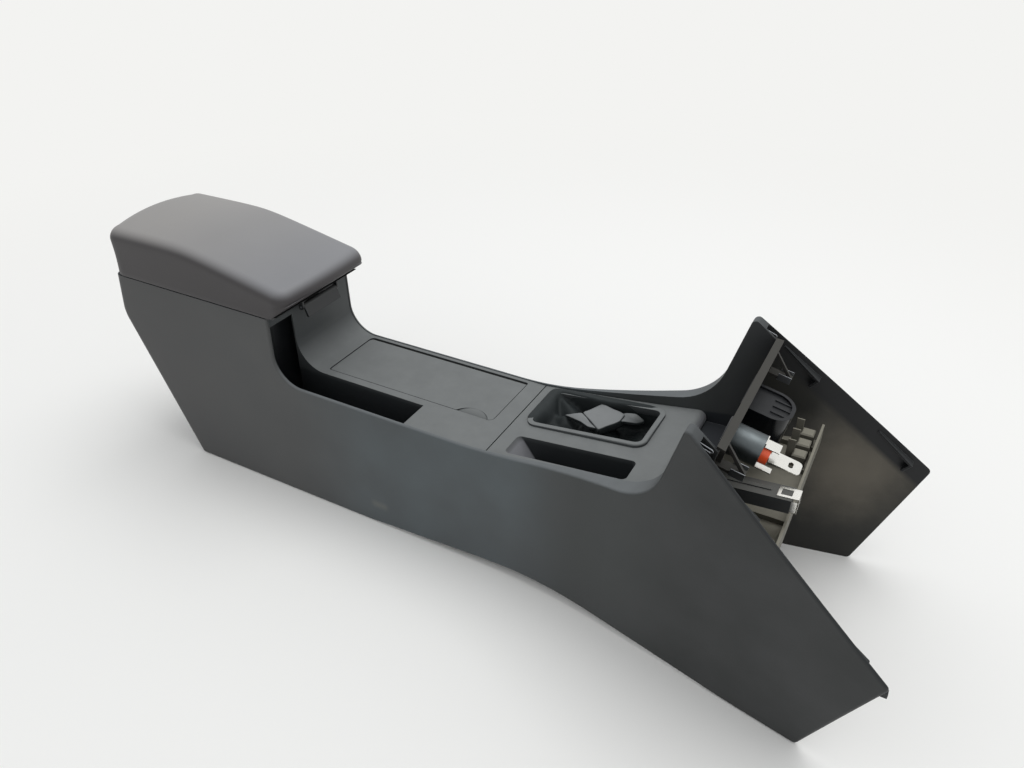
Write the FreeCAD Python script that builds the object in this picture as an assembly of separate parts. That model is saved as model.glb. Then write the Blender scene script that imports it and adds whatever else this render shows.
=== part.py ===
import FreeCAD, Part
import math
import os

V = FreeCAD.Vector

# A car's center console: moulded body with flared wings, padded armrest lid, cup holder, shift surround.
# Millimetres. X runs from the rear foot towards the dash, Y across (positive is the far side), Z up.

# Console body seen from the side
foot_length = 861.0
wing_reach = 917.0
wing_corner_height = 142.0
wing_corner_radius = 6.0
tip_x = 707.0
tip_height = 310.0
tip_radius = 5.0
wing_root_x = 679.0
wing_root_height = 207.5
wing_root_radius = 60.0
rise_x = 485.0
rise_radius = 480.0
rim_height = 170.0
bin_front_x = 179.0
knee_radius = 38.0
parting_height = 258.0
rear_top_x = -88.0
rear_bulge_x = -94.0
rear_bulge_height = 200.0
rear_bulge_radius = 40.0
arch_start_x = 300.0
arch_middle_x = 545.0
arch_end_x = 790.0
arch_rise = 13.0
arch_radius = 900.0

# Console body seen from above: straight at the rear, then flaring towards the dash
half_width_floor = 83.0
half_width_crown = 75.0
crown_height = 330.0
flare_x = 548.0
flare_blend = 88.0
flare_floor = 0.194
flare_crown = 0.276

# Walls, seams and edges
body_wall = 3.0
roof_thickness = 4.5
lining_wall = 2.5
rim_width = 3.5
return_flare_floor = -0.115
return_flare_crown = 0.225
ledge_width = 3.0
panel_wall = 2.5
panel_drop = 0.8
seat_gap = 0.1
seam_gap = 0.4
joint_gap = 1.3
moving_gap = 0.5
rim_fillet = 2.8
rear_fillet = 12.0
tip_cap_drop = 11.0
open_margin = 40.0

# Reach of cutting forms, how far joined forms sink into each other, and the slack when edges are picked
far_reach = 500.0
bite = 1.0
pick_slack = 0.6

# Strips with a clip tab inside each wing's front edge, and the prong at the near wing's front corner
wing_strip_places = (0.28, 0.82)
wing_strip_length = 54.0
wing_strip_height = 6.0
wing_strip_wall = 2.5
wing_strip_set_back = 6.0
wing_tab_length = 14.0
wing_prong_length = 12.0
wing_prong_width = 6.0
wing_prong_height = 5.0
wing_prong_drop = 15.0

# Storage bin under the armrest
bin_front_gap = 17.0
bin_rear_gap = 20.0
bin_half_width = 64.0
bin_depth = 146.0
bin_wall = 2.0
bin_flange = 6.0
bin_flange_thickness = 2.0
bin_draft = 6.0
bin_rear_slope = 34.0
bin_corner_radius = 12.0
floor_bolt_spacing = 120.0
floor_bolt_radius = 4.25

# Armrest lid
lid_gap = 2.0
lid_half_width = 80.0
lid_front_x = 222.0
lid_front_bow = 9.0
lid_rear_x = -90.0
lid_corner_radius = 20.0
lid_frame_thickness = 4.0
lid_frame_inset = 3.5
lid_front_height = 283.0
lid_front_foot = 190.0
lid_shoulder_x = 213.0
lid_shoulder_height = 298.0
lid_middle_x = 55.0
lid_middle_height = 331.0
lid_rear_height = 333.0
lid_rear_shoulder_x = -72.0
lid_rear_radius = 22.0
lid_nose_radius = 7.0
lid_bend = 40.0
lid_crown = 6.0
lid_crown_radius = 500.0
lid_edge_round = 9.0
pad_gap = 0.3

# Armrest hinge and latch
hinge_set_in = 2.0
hinge_lift = 1.5
hinge_barrel_radius = 4.2
hinge_pin_radius = 2.0
hinge_half_length = 50.0
hinge_knuckle = 15.0
hinge_leaf_wall = 1.6
pin_clearance = 0.05
hinge_screw_radius = 2.0
hinge_screw_tip = 3.0
hinge_screw_head = 3.4
hinge_screw_head_height = 1.2
hinge_screw_spread = 40.0
latch_y = 8.0
latch_width = 62.0
latch_x = 188.0
latch_drop = 7.0
latch_pin_radius = 1.5
latch_barrel_radius = 3.6
latch_paddle_drop = 13.0
latch_wall = 2.5
latch_ear_wall = 2.5
latch_hook_width = 18.0
latch_hook_reach = 13.5
latch_notch_gap = 1.5
spring_coils = 4
spring_wire = 0.9

# Cup panel, handbrake slot, cup insert and cup lid
joint_x = 478.0
slot_front_x = 368.0
slot_far_y = -33.0
slot_top_drop = 13.0
slot_flange_depth = 38.0
slot_ramp = 22.0
cup_lid_rear_x = 217.0
cup_lid_front_x = 455.5
cup_lid_near_y = -21.5
cup_lid_far_y = 68.0
cup_lid_wall = 2.4
cup_lid_gap = 0.8
cup_lid_wide_gap = 2.0
cup_lid_corner = 3.0
cup_lid_round_corner = 10.0
cup_opening_corner = 6.0
cup_lid_knuckle = 4.0
cup_lid_pin_radius = 1.0
notch_front_inset = 5.0
notch_length = 44.0
notch_depth = 13.0
notch_slope_deg = 11.0
insert_wall = 2.0
insert_depth = 14.0
insert_flange = 6.0
insert_flange_wall = 2.0
cup_radius = 36.5
cup_depth = 54.0
cup_spacing = 112.0

# Shift panel, coin tray, boot frame and boot. Lengths are along the panel's own slope.
shift_slope_deg = 6.5
shift_length = 198.0
shift_lip_radius = 9.0
shift_lip_drop = 11.0
boot_start = 14.0
boot_length = 146.0
boot_near_y = -12.0
boot_far_y = 69.0
boot_corner = 14.0
boot_rim = 6.0
boot_rim_height = 4.0
boot_rim_low = 1.0
boot_rim_round = 2.4
boot_skirt = 6.0
boot_skirt_wall = 2.0
boot_wall = 2.5
boot_sag = 24.0
boot_draw_in = 12.0
boot_top_length = 52.0
boot_top_width = 34.0
boot_top_rise = 3.0
boot_top_corner = 4.0
boot_top_turn = 0.2
boot_neck_spread = 1.12
tray_start = 19.0
tray_length = 143.0
tray_near_y = -68.0
tray_far_y = -34.0
tray_depth = 28.0
tray_corner = 6.0
tray_wall = 2.0
tray_rear_slope = 18.0
tray_front_slope = 4.0
tray_near_slope = 8.0
tray_far_slope = 2.0
lens_rear_x = 500.0
lens_front_x = 655.0
lens_depth = 4.0

# Front panel, power socket and the pieces beside it, measured across, up the panel and out towards the dash
front_foot_x = 709.0
front_foot_height = 178.0
front_lean_deg = 12.0
front_height = 116.0
front_wall = 3.0
front_flange = 8.0
front_flange_wall = 3.0
socket_y = -35.0
socket_up = 78.0
socket_bore_radius = 10.5
socket_barrel_radius = 16.5
socket_neck_radius = 12.0
socket_length = 36.0
socket_end_wall = 2.0
bezel_radius = 19.0
bezel_wall = 2.5
insulator_radius = 10.5
insulator_length = 8.0
insulator_wall = 1.5
contact_radius = 3.0
terminal_wall = 1.0
terminal_width = 20.0
terminal_length = 30.0
terminal_hole = 4.5
terminal_hole_round = 2.1
terminal_foot = 8.4
strap_width = 14.0
strap_length = 15.0
ground_tab_width = 8.0
ground_tab_length = 16.0
housing_y = 35.0
housing_up = 68.0
housing_width = 50.0
housing_height = 36.0
housing_length = 46.0
housing_wall = 2.5
housing_end_radius = 21.0
housing_rib = 4.0
housing_recess = 2.5
housing_fin_pitch = 11.0
housing_fin_length = 18.0
cover_margin = 5.0
cover_wall = 2.0
lamp_y = -62.0
lamp_base_height = 208.0
lamp_rise = 7.0
lamp_width = 21.0
lamp_height = 15.0
lamp_front_x = 800.0
lamp_ridge_width = 4.0
lamp_ridge_height = 1.5
lamp_clip_length = 20.0
lamp_clip_grip = 14.0
lamp_clip_wall = 1.0
lamp_clip_side = 3.0
clip_up = 88.0
clip_edge_gap = 12.0
clip_width = 12.0
clip_length = 14.0
clip_wall = 0.8
clip_side_height = 7.0
tower_wall = 3.0
tower_length = 29.0
tower_window = 5.0

# Ribbed cross bracket in front of the panel's foot
bracket_front_x = 800.0
bracket_half_width = 112.0
bracket_wall = 2.5
bracket_lip_height = 22.0
bracket_rib_pitch = 44.0
bracket_rib_height = 6.0
bracket_lap = 16.0
block_size = 14.0
block_height = 20.0
block_pitch = 21.0
block_first_y = 52.0
block_edge = 1.5
block_set_back = 4.0
fin_wall = 1.5
fin_height = 13.0
boss_y = -88.0
boss_radius = 8.0
boss_hole_radius = 3.0
boss_height = 12.0
bracket_screw_radius = 2.5
bracket_screw_head = 5.0
bracket_screw_head_height = 3.0
bracket_screw_spread = 60.0


def plane_xz(a, b):
    return V(a, 0, b)


def plane_xy(z):
    return lambda a, b: V(a, b, z)


def outline(corners, place):
    """Closed wire of straight runs with a tangent arc of the given radius at each corner (a, b, radius)."""
    starts = []
    ends = []
    middles = []
    count = len(corners)
    for i in range(count):
        here = V(corners[i][0], corners[i][1], 0)
        before = V(corners[i - 1][0], corners[i - 1][1], 0) - here
        after = V(corners[(i + 1) % count][0], corners[(i + 1) % count][1], 0) - here
        before.normalize()
        after.normalize()
        radius = corners[i][2]
        half = before.getAngle(after) / 2
        tangent = radius / math.tan(half)
        starts.append(here + before * tangent)
        ends.append(here + after * tangent)
        bisector = before + after
        if radius > 0:
            bisector.normalize()
            middles.append(here + bisector * (radius / math.sin(half) - radius))
        else:
            middles.append(None)
    edges = []
    for i in range(count):
        if middles[i] is not None:
            arc = [place(p.x, p.y) for p in (starts[i], middles[i], ends[i])]
            edges.append(Part.Arc(*arc).toShape())
        following = starts[(i + 1) % count]
        if (following - ends[i]).Length > 1e-6:
            run = Part.LineSegment(place(ends[i].x, ends[i].y), place(following.x, following.y))
            edges.append(run.toShape())
    return Part.Wire(edges)


def across(corners, reach=300.0):
    """Side view outline (x, z, radius) made solid across the whole width."""
    face = Part.Face(outline(corners, plane_xz))
    face.translate(V(0, -reach, 0))
    return face.extrude(V(0, 2 * reach, 0))


def slab(corners, low, high):
    """Plan outline (x, y, radius) made solid between two heights."""
    return Part.Face(outline(corners, plane_xy(low))).extrude(V(0, 0, high - low))


def rounded_rectangle(x0, y0, x1, y1, radius):
    return [(x0, y0, radius), (x1, y0, radius), (x1, y1, radius), (x0, y1, radius)]


def box(x0, y0, z0, x1, y1, z1):
    return Part.makeBox(x1 - x0, y1 - y0, z1 - z0, V(x0, y0, z0))


def rod(start, end, radius):
    line = end - start
    return Part.makeCylinder(radius, line.Length, start, line)


def inset(corners, distances):
    """Corners moved inwards, edge by edge. Edge i runs from corner i to corner i + 1, anticlockwise."""
    moved = []
    count = len(corners)
    for i in range(count):
        here = V(corners[i][0], corners[i][1], 0)
        along_in = here - V(corners[i - 1][0], corners[i - 1][1], 0)
        along_out = V(corners[(i + 1) % count][0], corners[(i + 1) % count][1], 0) - here
        along_in.normalize()
        along_out.normalize()
        distance_in = distances[i - 1]
        distance_out = distances[i]
        turn = along_in.x * along_out.y - along_in.y * along_out.x
        point_in = here + V(-along_in.y, along_in.x, 0) * distance_in
        point_out = here + V(-along_out.y, along_out.x, 0) * distance_out
        gap = point_out - point_in
        step = (gap.x * along_out.y - gap.y * along_out.x) / turn
        corner = point_in + along_in * step
        change = math.copysign((distance_in + distance_out) / 2, turn)
        radius = max(corners[i][2] - change, 0.0) if corners[i][2] > 0 else 0.0
        moved.append((corner.x, corner.y, radius))
    return moved


def blend_radius(slope):
    return flare_blend / math.tan(math.atan(abs(slope)) / 2)


def plan_values(z, step_in, floor_slope, crown_slope):
    share = z / crown_height
    base = half_width_floor + (half_width_crown - half_width_floor) * share - step_in
    return base, floor_slope + (crown_slope - floor_slope) * share


def plan_block(step_in, floor_slope, crown_slope, low=-open_margin, high=crown_height + open_margin):
    """Drafted, flaring block between the two side faces, each moved in by step_in."""
    back = rear_bulge_x - open_margin
    front = wing_reach + open_margin
    wires = []
    for z in (low, high):
        base, slope = plan_values(z, step_in, floor_slope, crown_slope)
        end = base + slope * (front - flare_x)
        bend = blend_radius(slope)
        corners = [(back, -base, 0), (flare_x, -base, bend), (front, -end, 0)]
        corners += [(front, end, 0), (flare_x, base, bend), (back, base, 0)]
        wires.append(outline(corners, plane_xy(z)))
    return Part.makeLoft(wires, True, True)


def half_width(x, z, step_in, floor_slope, crown_slope):
    base, slope = plan_values(z, step_in, floor_slope, crown_slope)
    past = min(max(x - flare_x + flare_blend, 0.0), 2 * flare_blend)
    return base + slope * (past * past / (4 * flare_blend) + max(x - flare_x - flare_blend, 0.0))


def outer_half(x, z):
    return half_width(x, z, 0.0, flare_floor, flare_crown)


def pocket_half(x, z):
    return half_width(x, z, rim_width, return_flare_floor, return_flare_crown)


# Heights and places that several pieces share
panel_top = rim_height - panel_drop
seat_height = panel_top - panel_wall - seat_gap
wall_face_x = bin_front_x - panel_drop
wall_seat_x = wall_face_x - panel_wall - seat_gap
shift_slope = math.radians(shift_slope_deg)
shift_start_x = joint_x + joint_gap / 2
shift_end_x = shift_start_x + shift_length * math.cos(shift_slope)
front_lean = math.radians(front_lean_deg)
front_up = V(math.sin(front_lean), 0, math.cos(front_lean))
front_out = V(math.cos(front_lean), 0, -math.sin(front_lean))
lid_floor = parting_height + lid_gap
hinge_x = lid_rear_x + hinge_set_in
hinge_z = parting_height + hinge_lift
latch_z = lid_floor - latch_drop
cup_axis_y = cup_lid_far_y - cup_lid_knuckle
cup_axis_z = panel_top - cup_lid_knuckle
bin_floor = parting_height - bin_depth

profile = [
    (0.0, 0.0, 0.0),
    (arch_start_x, 0.0, arch_radius),
    (arch_middle_x, arch_rise, arch_radius),
    (arch_end_x, 0.0, arch_radius),
    (foot_length, 0.0, wing_corner_radius),
    (wing_reach, wing_corner_height, wing_corner_radius),
    (tip_x, tip_height, tip_radius),
    (wing_root_x, wing_root_height, wing_root_radius),
    (rise_x, rim_height, rise_radius),
    (bin_front_x, rim_height, knee_radius),
    (bin_front_x, parting_height, 0.0),
    (rear_top_x, parting_height, 0.0),
    (rear_bulge_x, rear_bulge_height, rear_bulge_radius),
]


def front_place(y, up, out):
    foot = V(front_foot_x, 0, front_foot_height)
    return foot + V(0, y, 0) + front_up * up + front_out * out


def front_frame(shape):
    """Local frame of the leaning panel: x across to the far side, y up the panel, z towards the dash."""
    turned = FreeCAD.Matrix(
        0, front_up.x, front_out.x, front_foot_x,
        1, 0, 0, 0,
        0, front_up.z, front_out.z, front_foot_height,
        0, 0, 0, 1)
    return shape.transformed(turned)


def shift_frame(shape):
    """Local frame of the sloping shift panel: x up the slope, y across, z out of its top face."""
    moved = shape.copy()
    moved.rotate(V(0, 0, 0), V(0, 1, 0), -shift_slope_deg)
    moved.translate(V(shift_start_x, 0, panel_top))
    return moved


def rim_edges(solid):
    """Outer edges of the rim, from the bin's front wall to the wing tip."""
    chosen = []
    for edge in solid.Edges:
        ends = [edge.valueAt(edge.FirstParameter), edge.valueAt(edge.LastParameter)]
        middle = edge.valueAt((edge.FirstParameter + edge.LastParameter) / 2)
        on_side = all(abs(abs(p.y) - outer_half(p.x, p.z)) < pick_slack for p in ends + [middle])
        on_rim = bin_front_x - bite < middle.x < tip_x and middle.z > rim_height - bite
        behind_tip = middle.x < tip_x - tip_radius / 2
        if on_side and on_rim and behind_tip and ends[0].z < tip_height:
            chosen.append(edge)
    return chosen


def rear_edges(solid, step_in):
    """Upright corners between the rear wall and the side walls, on a solid moved in by step_in."""
    chosen = []
    for edge in solid.Edges:
        middle = edge.valueAt((edge.FirstParameter + edge.LastParameter) / 2)
        on_side = abs(abs(middle.y) + step_in - outer_half(middle.x, middle.z)) < pick_slack
        upright = middle.z < parting_height - step_in - roof_thickness / 2
        behind = middle.x < rear_bulge_x * middle.z / (2 * rear_bulge_height)
        if on_side and upright and behind:
            chosen.append(edge)
    return chosen


def pocket_profile(grow, front):
    """Side view of the space above the panels, grown outwards for the wall that lines it."""
    slope_rise = (shift_end_x - joint_x) * math.tan(shift_slope)
    step_x = shift_end_x - 2 * shift_lip_radius
    step_z = seat_height + slope_rise * (step_x - joint_x) / (shift_end_x - joint_x)
    top = tip_height + open_margin
    return [
        (wall_seat_x - grow, top, 0.0),
        (wall_seat_x - grow, seat_height - grow, knee_radius + panel_drop + panel_wall + seat_gap + grow),
        (joint_x, seat_height - grow, 0.0),
        (step_x - grow, step_z - grow, 0.0),
        (step_x - grow, front_foot_height - grow, 0.0),
        front(front_foot_height - grow),
        front(top),
    ]


def lean_front(z):
    base = front_place(0, 0, front_wall)
    return (base.x + (z - base.z) * math.tan(front_lean), z, 0.0)


def console_body():
    outer = across(profile).common(plan_block(0.0, flare_floor, flare_crown)).Solids[0]
    outer = outer.makeFillet(rear_fillet, rear_edges(outer, 0.0)).Solids[0]
    outer = outer.makeFillet(rim_fillet, rim_edges(outer)).Solids[0]
    wall_insets = [-open_margin] * 6 + [body_wall] * 4 + [roof_thickness] + [body_wall] * 2
    hollow = across(inset(profile, wall_insets)).common(plan_block(body_wall, flare_floor, flare_crown))
    hollow = hollow.Solids[0]
    hollow = hollow.makeFillet(rear_fillet - body_wall, rear_edges(hollow, body_wall))
    body = outer.cut(hollow)
    lining = across(pocket_profile(lining_wall, lean_front))
    lining = lining.common(plan_block(rim_width - lining_wall, return_flare_floor, return_flare_crown))
    tip_low = tip_height - tip_cap_drop
    tips = box(wing_root_x, -far_reach, tip_low, wing_reach, far_reach, tip_height + bite)
    body = body.fuse([lining.common(outer), tips.common(outer)])
    pocket = across(pocket_profile(0.0, lambda z: (wing_reach + open_margin, z, 0.0)))
    pocket_plan = plan_block(rim_width, return_flare_floor, return_flare_crown)
    body = body.cut(pocket.common(pocket_plan))
    openings_plan = plan_block(rim_width + ledge_width, return_flare_floor, return_flare_crown)
    bar = ledge_width * 3
    cup_rear = cup_lid_rear_x - moving_gap - insert_wall - insert_flange - seam_gap
    cup_opening = box(cup_rear, -far_reach, bin_floor, joint_x - bar, far_reach, parting_height)
    shift_rear = joint_x + bar
    shift_front = shift_end_x - 2 * shift_lip_radius - bar
    shift_opening = box(shift_rear, -far_reach, bin_floor, shift_front, far_reach, parting_height)
    body = body.cut(cup_opening.fuse(shift_opening).common(openings_plan))
    body = body.cut(near_gap(bin_floor, parting_height).common(pocket_plan))
    slot_top = parting_height - slot_top_drop
    slot_far = slot_far_y + panel_wall + seam_gap
    slot_rear = wall_seat_x - lining_wall - bite
    slot = box(slot_rear, -far_reach, rim_height - slot_flange_depth, slot_front_x, slot_far, slot_top)
    body = body.cut(slot.common(pocket_plan))
    body = body.cut(bin_cut()).cut(hinge_cut()).cut(latch_cut()).fuse(wing_tabs())
    for hole in hinge_screw_shanks() + bracket_screw_shanks():
        body = body.cut(hole)
    return body.removeSplitter()


def near_gap(low, high):
    """Lens-shaped gap where the shift panel's near edge has sprung away from the rim."""
    middle_x = (lens_rear_x + lens_front_x) / 2
    places = (lens_rear_x, middle_x, lens_front_x)
    rear, middle, front = [V(x, seam_gap - pocket_half(x, rim_height), low) for x in places]
    arc = Part.Arc(rear, middle + V(0, lens_depth, 0), front)
    outside = V(0, -open_margin, 0)
    back = Part.makePolygon([front, front + outside, rear + outside, rear])
    face = Part.Face(Part.Wire([arc.toShape()] + back.Edges))
    return face.extrude(V(0, 0, high - low))


def bin_outline(grow, z):
    """Plan outline of the bin at a height, with its sloping rear wall and drafted sides."""
    share = (parting_height - z) / bin_depth
    rear = rear_top_x + bin_rear_gap + bin_rear_slope * share - grow
    front = bin_front_x - bin_front_gap - bin_draft * share + grow
    side = bin_half_width - bin_draft * share + grow
    return rounded_rectangle(rear, -side, front, side, bin_corner_radius)


def bin_block(grow, low, high):
    wires = [outline(bin_outline(grow, z), plane_xy(z)) for z in (low, high)]
    return Part.makeLoft(wires, True, True)


def bin_cut():
    """Opening in the body's roof for the bin, with a step for its flange."""
    flange_low = parting_height - bin_flange_thickness
    through = bin_block(seam_gap, parting_height - 2 * roof_thickness, parting_height + bite)
    step = slab(bin_outline(bin_flange + seam_gap, parting_height), flange_low, parting_height + bite)
    return through.fuse(step)


def bin_liner():
    top = parting_height
    inside = bin_block(-bin_wall, bin_floor + bin_wall, top + bite)
    tub = bin_block(0.0, bin_floor, top).cut(inside)
    flange = slab(bin_outline(bin_flange, top), top - bin_flange_thickness, top).cut(inside)
    tub = tub.fuse(flange)
    middle = (bin_front_x + rear_top_x + bin_rear_slope) / 2
    for side in (-1, 1):
        x = middle + side * floor_bolt_spacing / 2
        low = bin_floor - bite
        tub = tub.cut(rod(V(x, 0, low), V(x, 0, low + bin_wall + 2 * bite), floor_bolt_radius))
    return tub.removeSplitter()


def hinge_cut():
    """Trough along the rear top edge for the hinge barrel and its bracket."""
    trough = hinge_rod(hinge_half_length + 2 * moving_gap, hinge_barrel_radius + 2 * moving_gap)
    return trough.fuse(hinge_leaf(seat_gap, rear_top_x - hinge_barrel_radius))


def hinge_leaf_front():
    return rear_top_x + bin_rear_gap - bin_flange - 2 * seam_gap


def hinge_leaf(grow, rear):
    """Plate of the bracket, let into the bin's roof behind its flange."""
    reach = hinge_half_length + grow
    low = parting_height - hinge_leaf_wall - grow
    return box(rear, -reach, low, hinge_leaf_front() + grow, reach, parting_height)


def wing_tabs():
    """Strips with a tab inside the front edge of each wing, and the prong beside the near front corner."""
    tabs = []
    edge_x = wing_reach - tip_x
    edge_z = wing_corner_height - tip_height
    edge_length = math.hypot(edge_x, edge_z)
    down = V(edge_x / edge_length, 0, edge_z / edge_length)
    inward = V(down.z, 0, -down.x)
    slant = math.degrees(math.atan2(-down.z, down.x))
    for side in (-1, 1):
        for place in wing_strip_places:
            start = V(tip_x, 0, tip_height) + down * (place * edge_length) + inward * wing_strip_set_back
            wall = outer_half(start.x, start.z) - body_wall - wing_strip_height
            reach = 2 * wing_strip_height + body_wall
            half = wing_strip_length / 2
            strip = box(-half, 0, -wing_strip_wall, half, reach, 0)
            tab = box(half - wing_strip_wall, 0, -wing_tab_length, half, reach, 0)
            strip = strip.fuse(tab)
            strip.rotate(V(0, 0, 0), V(0, 1, 0), slant)
            strip.translate(V(start.x, wall, start.z))
            if side < 0:
                strip = strip.mirror(V(0, 0, 0), V(0, 1, 0))
            tabs.append(strip)
    x = wing_reach - wing_prong_length
    z = wing_corner_height - wing_prong_drop
    wall = outer_half(x, z) - body_wall / 2
    tabs.append(box(x, -wall, z, x + wing_prong_length, wing_prong_width - wall, z + wing_prong_height))
    inside = plan_block(body_wall / 2, flare_floor, flare_crown)
    return [tab.common(inside) for tab in tabs]


def lid_plan(step_in, low, high):
    """Plan block of the armrest lid with rounded corners and a bowed front."""
    side = lid_half_width - step_in
    rear = lid_rear_x + step_in
    block = slab(rounded_rectangle(rear, -side, lid_front_x, side, lid_corner_radius), low, high)
    bow_radius = (side * side + lid_front_bow * lid_front_bow) / (2 * lid_front_bow)
    bow_x = lid_front_x - step_in - bow_radius
    return block.common(rod(V(bow_x, 0, low), V(bow_x, 0, high), bow_radius))


def lid_profile(low):
    """Side view of the lid, open above, where the crowned top takes over."""
    rise = (low - lid_floor) / (lid_front_height - lid_floor)
    above = lid_rear_height + open_margin
    shoulder_lean = (lid_front_x - lid_shoulder_x) / (lid_shoulder_height - lid_front_height)
    return [
        (lid_rear_x, low, 0.0),
        (lid_front_foot + (lid_front_x - lid_front_foot) * rise, low, 0.0),
        (lid_front_x, lid_front_height, lid_nose_radius),
        (lid_front_x - (above - lid_front_height) * shoulder_lean, above, 0.0),
        (lid_rear_shoulder_x + lid_rear_radius, above, 0.0),
        (lid_rear_shoulder_x, lid_rear_height - lid_rear_radius, lid_rear_radius),
    ]


def lid_section(x, top):
    """Cross section of the padded lid: upright sides, rounded shoulders and a crowned top."""
    side = lid_half_width
    shoulder = top - lid_crown
    corners = [
        (-side, lid_floor, 0.0),
        (side, lid_floor, 0.0),
        (side, shoulder, lid_edge_round),
        (0.0, top, lid_crown_radius),
        (-side, shoulder, lid_edge_round),
    ]
    return outline(corners, lambda y, z: V(x, y, z))


def armrest_pad():
    """Padded cover that wraps down over the edge of the lid's frame."""
    fall = (lid_middle_height - lid_shoulder_height) / (lid_shoulder_x - lid_middle_x)
    front_drop = (lid_front_x + bite - lid_shoulder_x) * fall
    stations = [
        (lid_rear_x - bite, lid_rear_height),
        (lid_middle_x - lid_bend, lid_middle_height),
        (lid_middle_x + lid_bend, lid_middle_height - lid_bend * fall),
        (lid_front_x + bite, lid_shoulder_height - front_drop),
    ]
    top = Part.makeLoft([lid_section(x, z) for x, z in stations], True, False)
    pad = top.common(across(lid_profile(lid_floor)))
    pad = pad.common(lid_plan(0.0, lid_floor, crown_height + open_margin))
    frame_top = lid_floor + lid_frame_thickness + pad_gap
    frame_room = lid_plan(lid_frame_inset - pad_gap, lid_floor - bite, frame_top)
    reach = hinge_half_length + 2 * moving_gap
    front = hinge_x + 2 * hinge_barrel_radius
    hinge_room = box(lid_rear_x - bite, -reach, lid_floor - bite, front, reach, frame_top)
    return pad.cut(frame_room.fuse(hinge_room)).removeSplitter()


def armrest_lid_frame():
    high = lid_floor + lid_frame_thickness
    plate = across(lid_profile(lid_floor)).common(lid_plan(lid_frame_inset, lid_floor, high))
    knuckle_reach = hinge_half_length + bite
    plate = plate.cut(hinge_rod(knuckle_reach, hinge_barrel_radius + moving_gap))
    reach = hinge_half_length - hinge_knuckle - moving_gap
    web = box(hinge_x, -reach, lid_floor, hinge_x + 2 * hinge_barrel_radius, reach, high)
    plate = plate.fuse([hinge_rod(reach, hinge_barrel_radius), web])
    for side in (-1, 1):
        y = latch_y + side * (latch_width / 2 + moving_gap + latch_ear_wall / 2)
        low_y = y - latch_ear_wall / 2
        high_y = y + latch_ear_wall / 2
        half = latch_barrel_radius
        ear = box(latch_x - half, low_y, latch_z, latch_x + half, high_y, high - bite)
        plate = plate.fuse([ear, latch_rod(low_y, high_y, half)])
    plate = plate.cut(hinge_rod(far_reach, hinge_pin_radius + pin_clearance))
    return plate.cut(latch_rod(-far_reach, far_reach, latch_pin_radius + pin_clearance)).removeSplitter()


def hinge_rod(reach, radius):
    """Round form on the armrest hinge's axis."""
    return rod(V(hinge_x, -reach, hinge_z), V(hinge_x, reach, hinge_z), radius)


def latch_rod(low_y, high_y, radius):
    """Round form on the latch's axis."""
    return rod(V(latch_x, low_y, latch_z), V(latch_x, high_y, latch_z), radius)


def armrest_hinge_bracket():
    leaf = hinge_leaf(0.0, rear_top_x)
    inner = hinge_half_length - hinge_knuckle
    parts = []
    for side in (-1, 1):
        ends = sorted((side * inner, side * hinge_half_length))
        parts.append(rod(V(hinge_x, ends[0], hinge_z), V(hinge_x, ends[1], hinge_z), hinge_barrel_radius))
        front = hinge_x + hinge_barrel_radius
        parts.append(box(hinge_x, ends[0], parting_height - hinge_leaf_wall, front, ends[1], hinge_z))
    leaf = leaf.cut(hinge_rod(inner, hinge_barrel_radius + moving_gap)).fuse(parts)
    leaf = leaf.cut(hinge_rod(far_reach, hinge_pin_radius))
    for hole in hinge_screw_shanks():
        leaf = leaf.cut(hole)
    return leaf.removeSplitter()


def hinge_screw_shanks():
    x = (hinge_x + hinge_barrel_radius + hinge_leaf_front()) / 2
    low = parting_height - roof_thickness - hinge_screw_tip
    places = [V(x, side * hinge_screw_spread / 2, 0) for side in (-1, 1)]
    return [rod(p + V(0, 0, low), p + V(0, 0, parting_height), hinge_screw_radius) for p in places]


def armrest_hinge_pin():
    return hinge_rod(hinge_half_length, hinge_pin_radius)


def latch_paddle():
    side = latch_width / 2
    barrel = latch_rod(latch_y - side, latch_y + side, latch_barrel_radius)
    plate = across([
        (latch_x + latch_barrel_radius - latch_wall, latch_z, 0.0),
        (latch_x + latch_barrel_radius, latch_z, 0.0),
        (latch_x + latch_barrel_radius + 2 * latch_wall, latch_z - latch_paddle_drop, 0.0),
        (latch_x + 2 * latch_wall, latch_z - latch_paddle_drop, 0.0),
    ])
    plate = plate.common(box(0, latch_y - side, 0, far_reach, latch_y + side, far_reach))
    hook = across([
        (latch_x - latch_hook_reach, latch_z - 2 * latch_wall, 0.0),
        (latch_x, latch_z - latch_barrel_radius - latch_wall, 0.0),
        (latch_x + latch_barrel_radius, latch_z - latch_barrel_radius, 0.0),
        (latch_x, latch_z, 0.0),
        (latch_x - latch_hook_reach + latch_wall, latch_z - latch_wall, 0.0),
        (latch_x - latch_hook_reach, latch_z - latch_wall / 2, 0.0),
    ])
    hook_side = latch_hook_width / 2
    hook = hook.common(box(0, latch_y - hook_side, 0, far_reach, latch_y + hook_side, far_reach))
    room_start = spring_start() - spring_wire
    room_end = spring_start() + (spring_coils + 1) * spring_wire
    reach = 2 * latch_hook_reach
    room_low = latch_z - latch_barrel_radius
    spring_room = box(latch_x - reach, room_start, room_low, latch_x, room_end, latch_z + reach)
    round_room = latch_rod(room_start, room_end, spring_outer() + moving_gap / 2)
    paddle = barrel.fuse(plate).cut(spring_room.fuse(round_room)).fuse(hook)
    return paddle.cut(latch_rod(-far_reach, far_reach, latch_pin_radius + pin_clearance)).removeSplitter()


def latch_pin():
    reach = latch_width / 2 + moving_gap + latch_ear_wall
    return latch_rod(latch_y - reach, latch_y + reach, latch_pin_radius)


def spring_start():
    return latch_y + latch_hook_width / 2 + 2 * latch_wall


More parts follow.
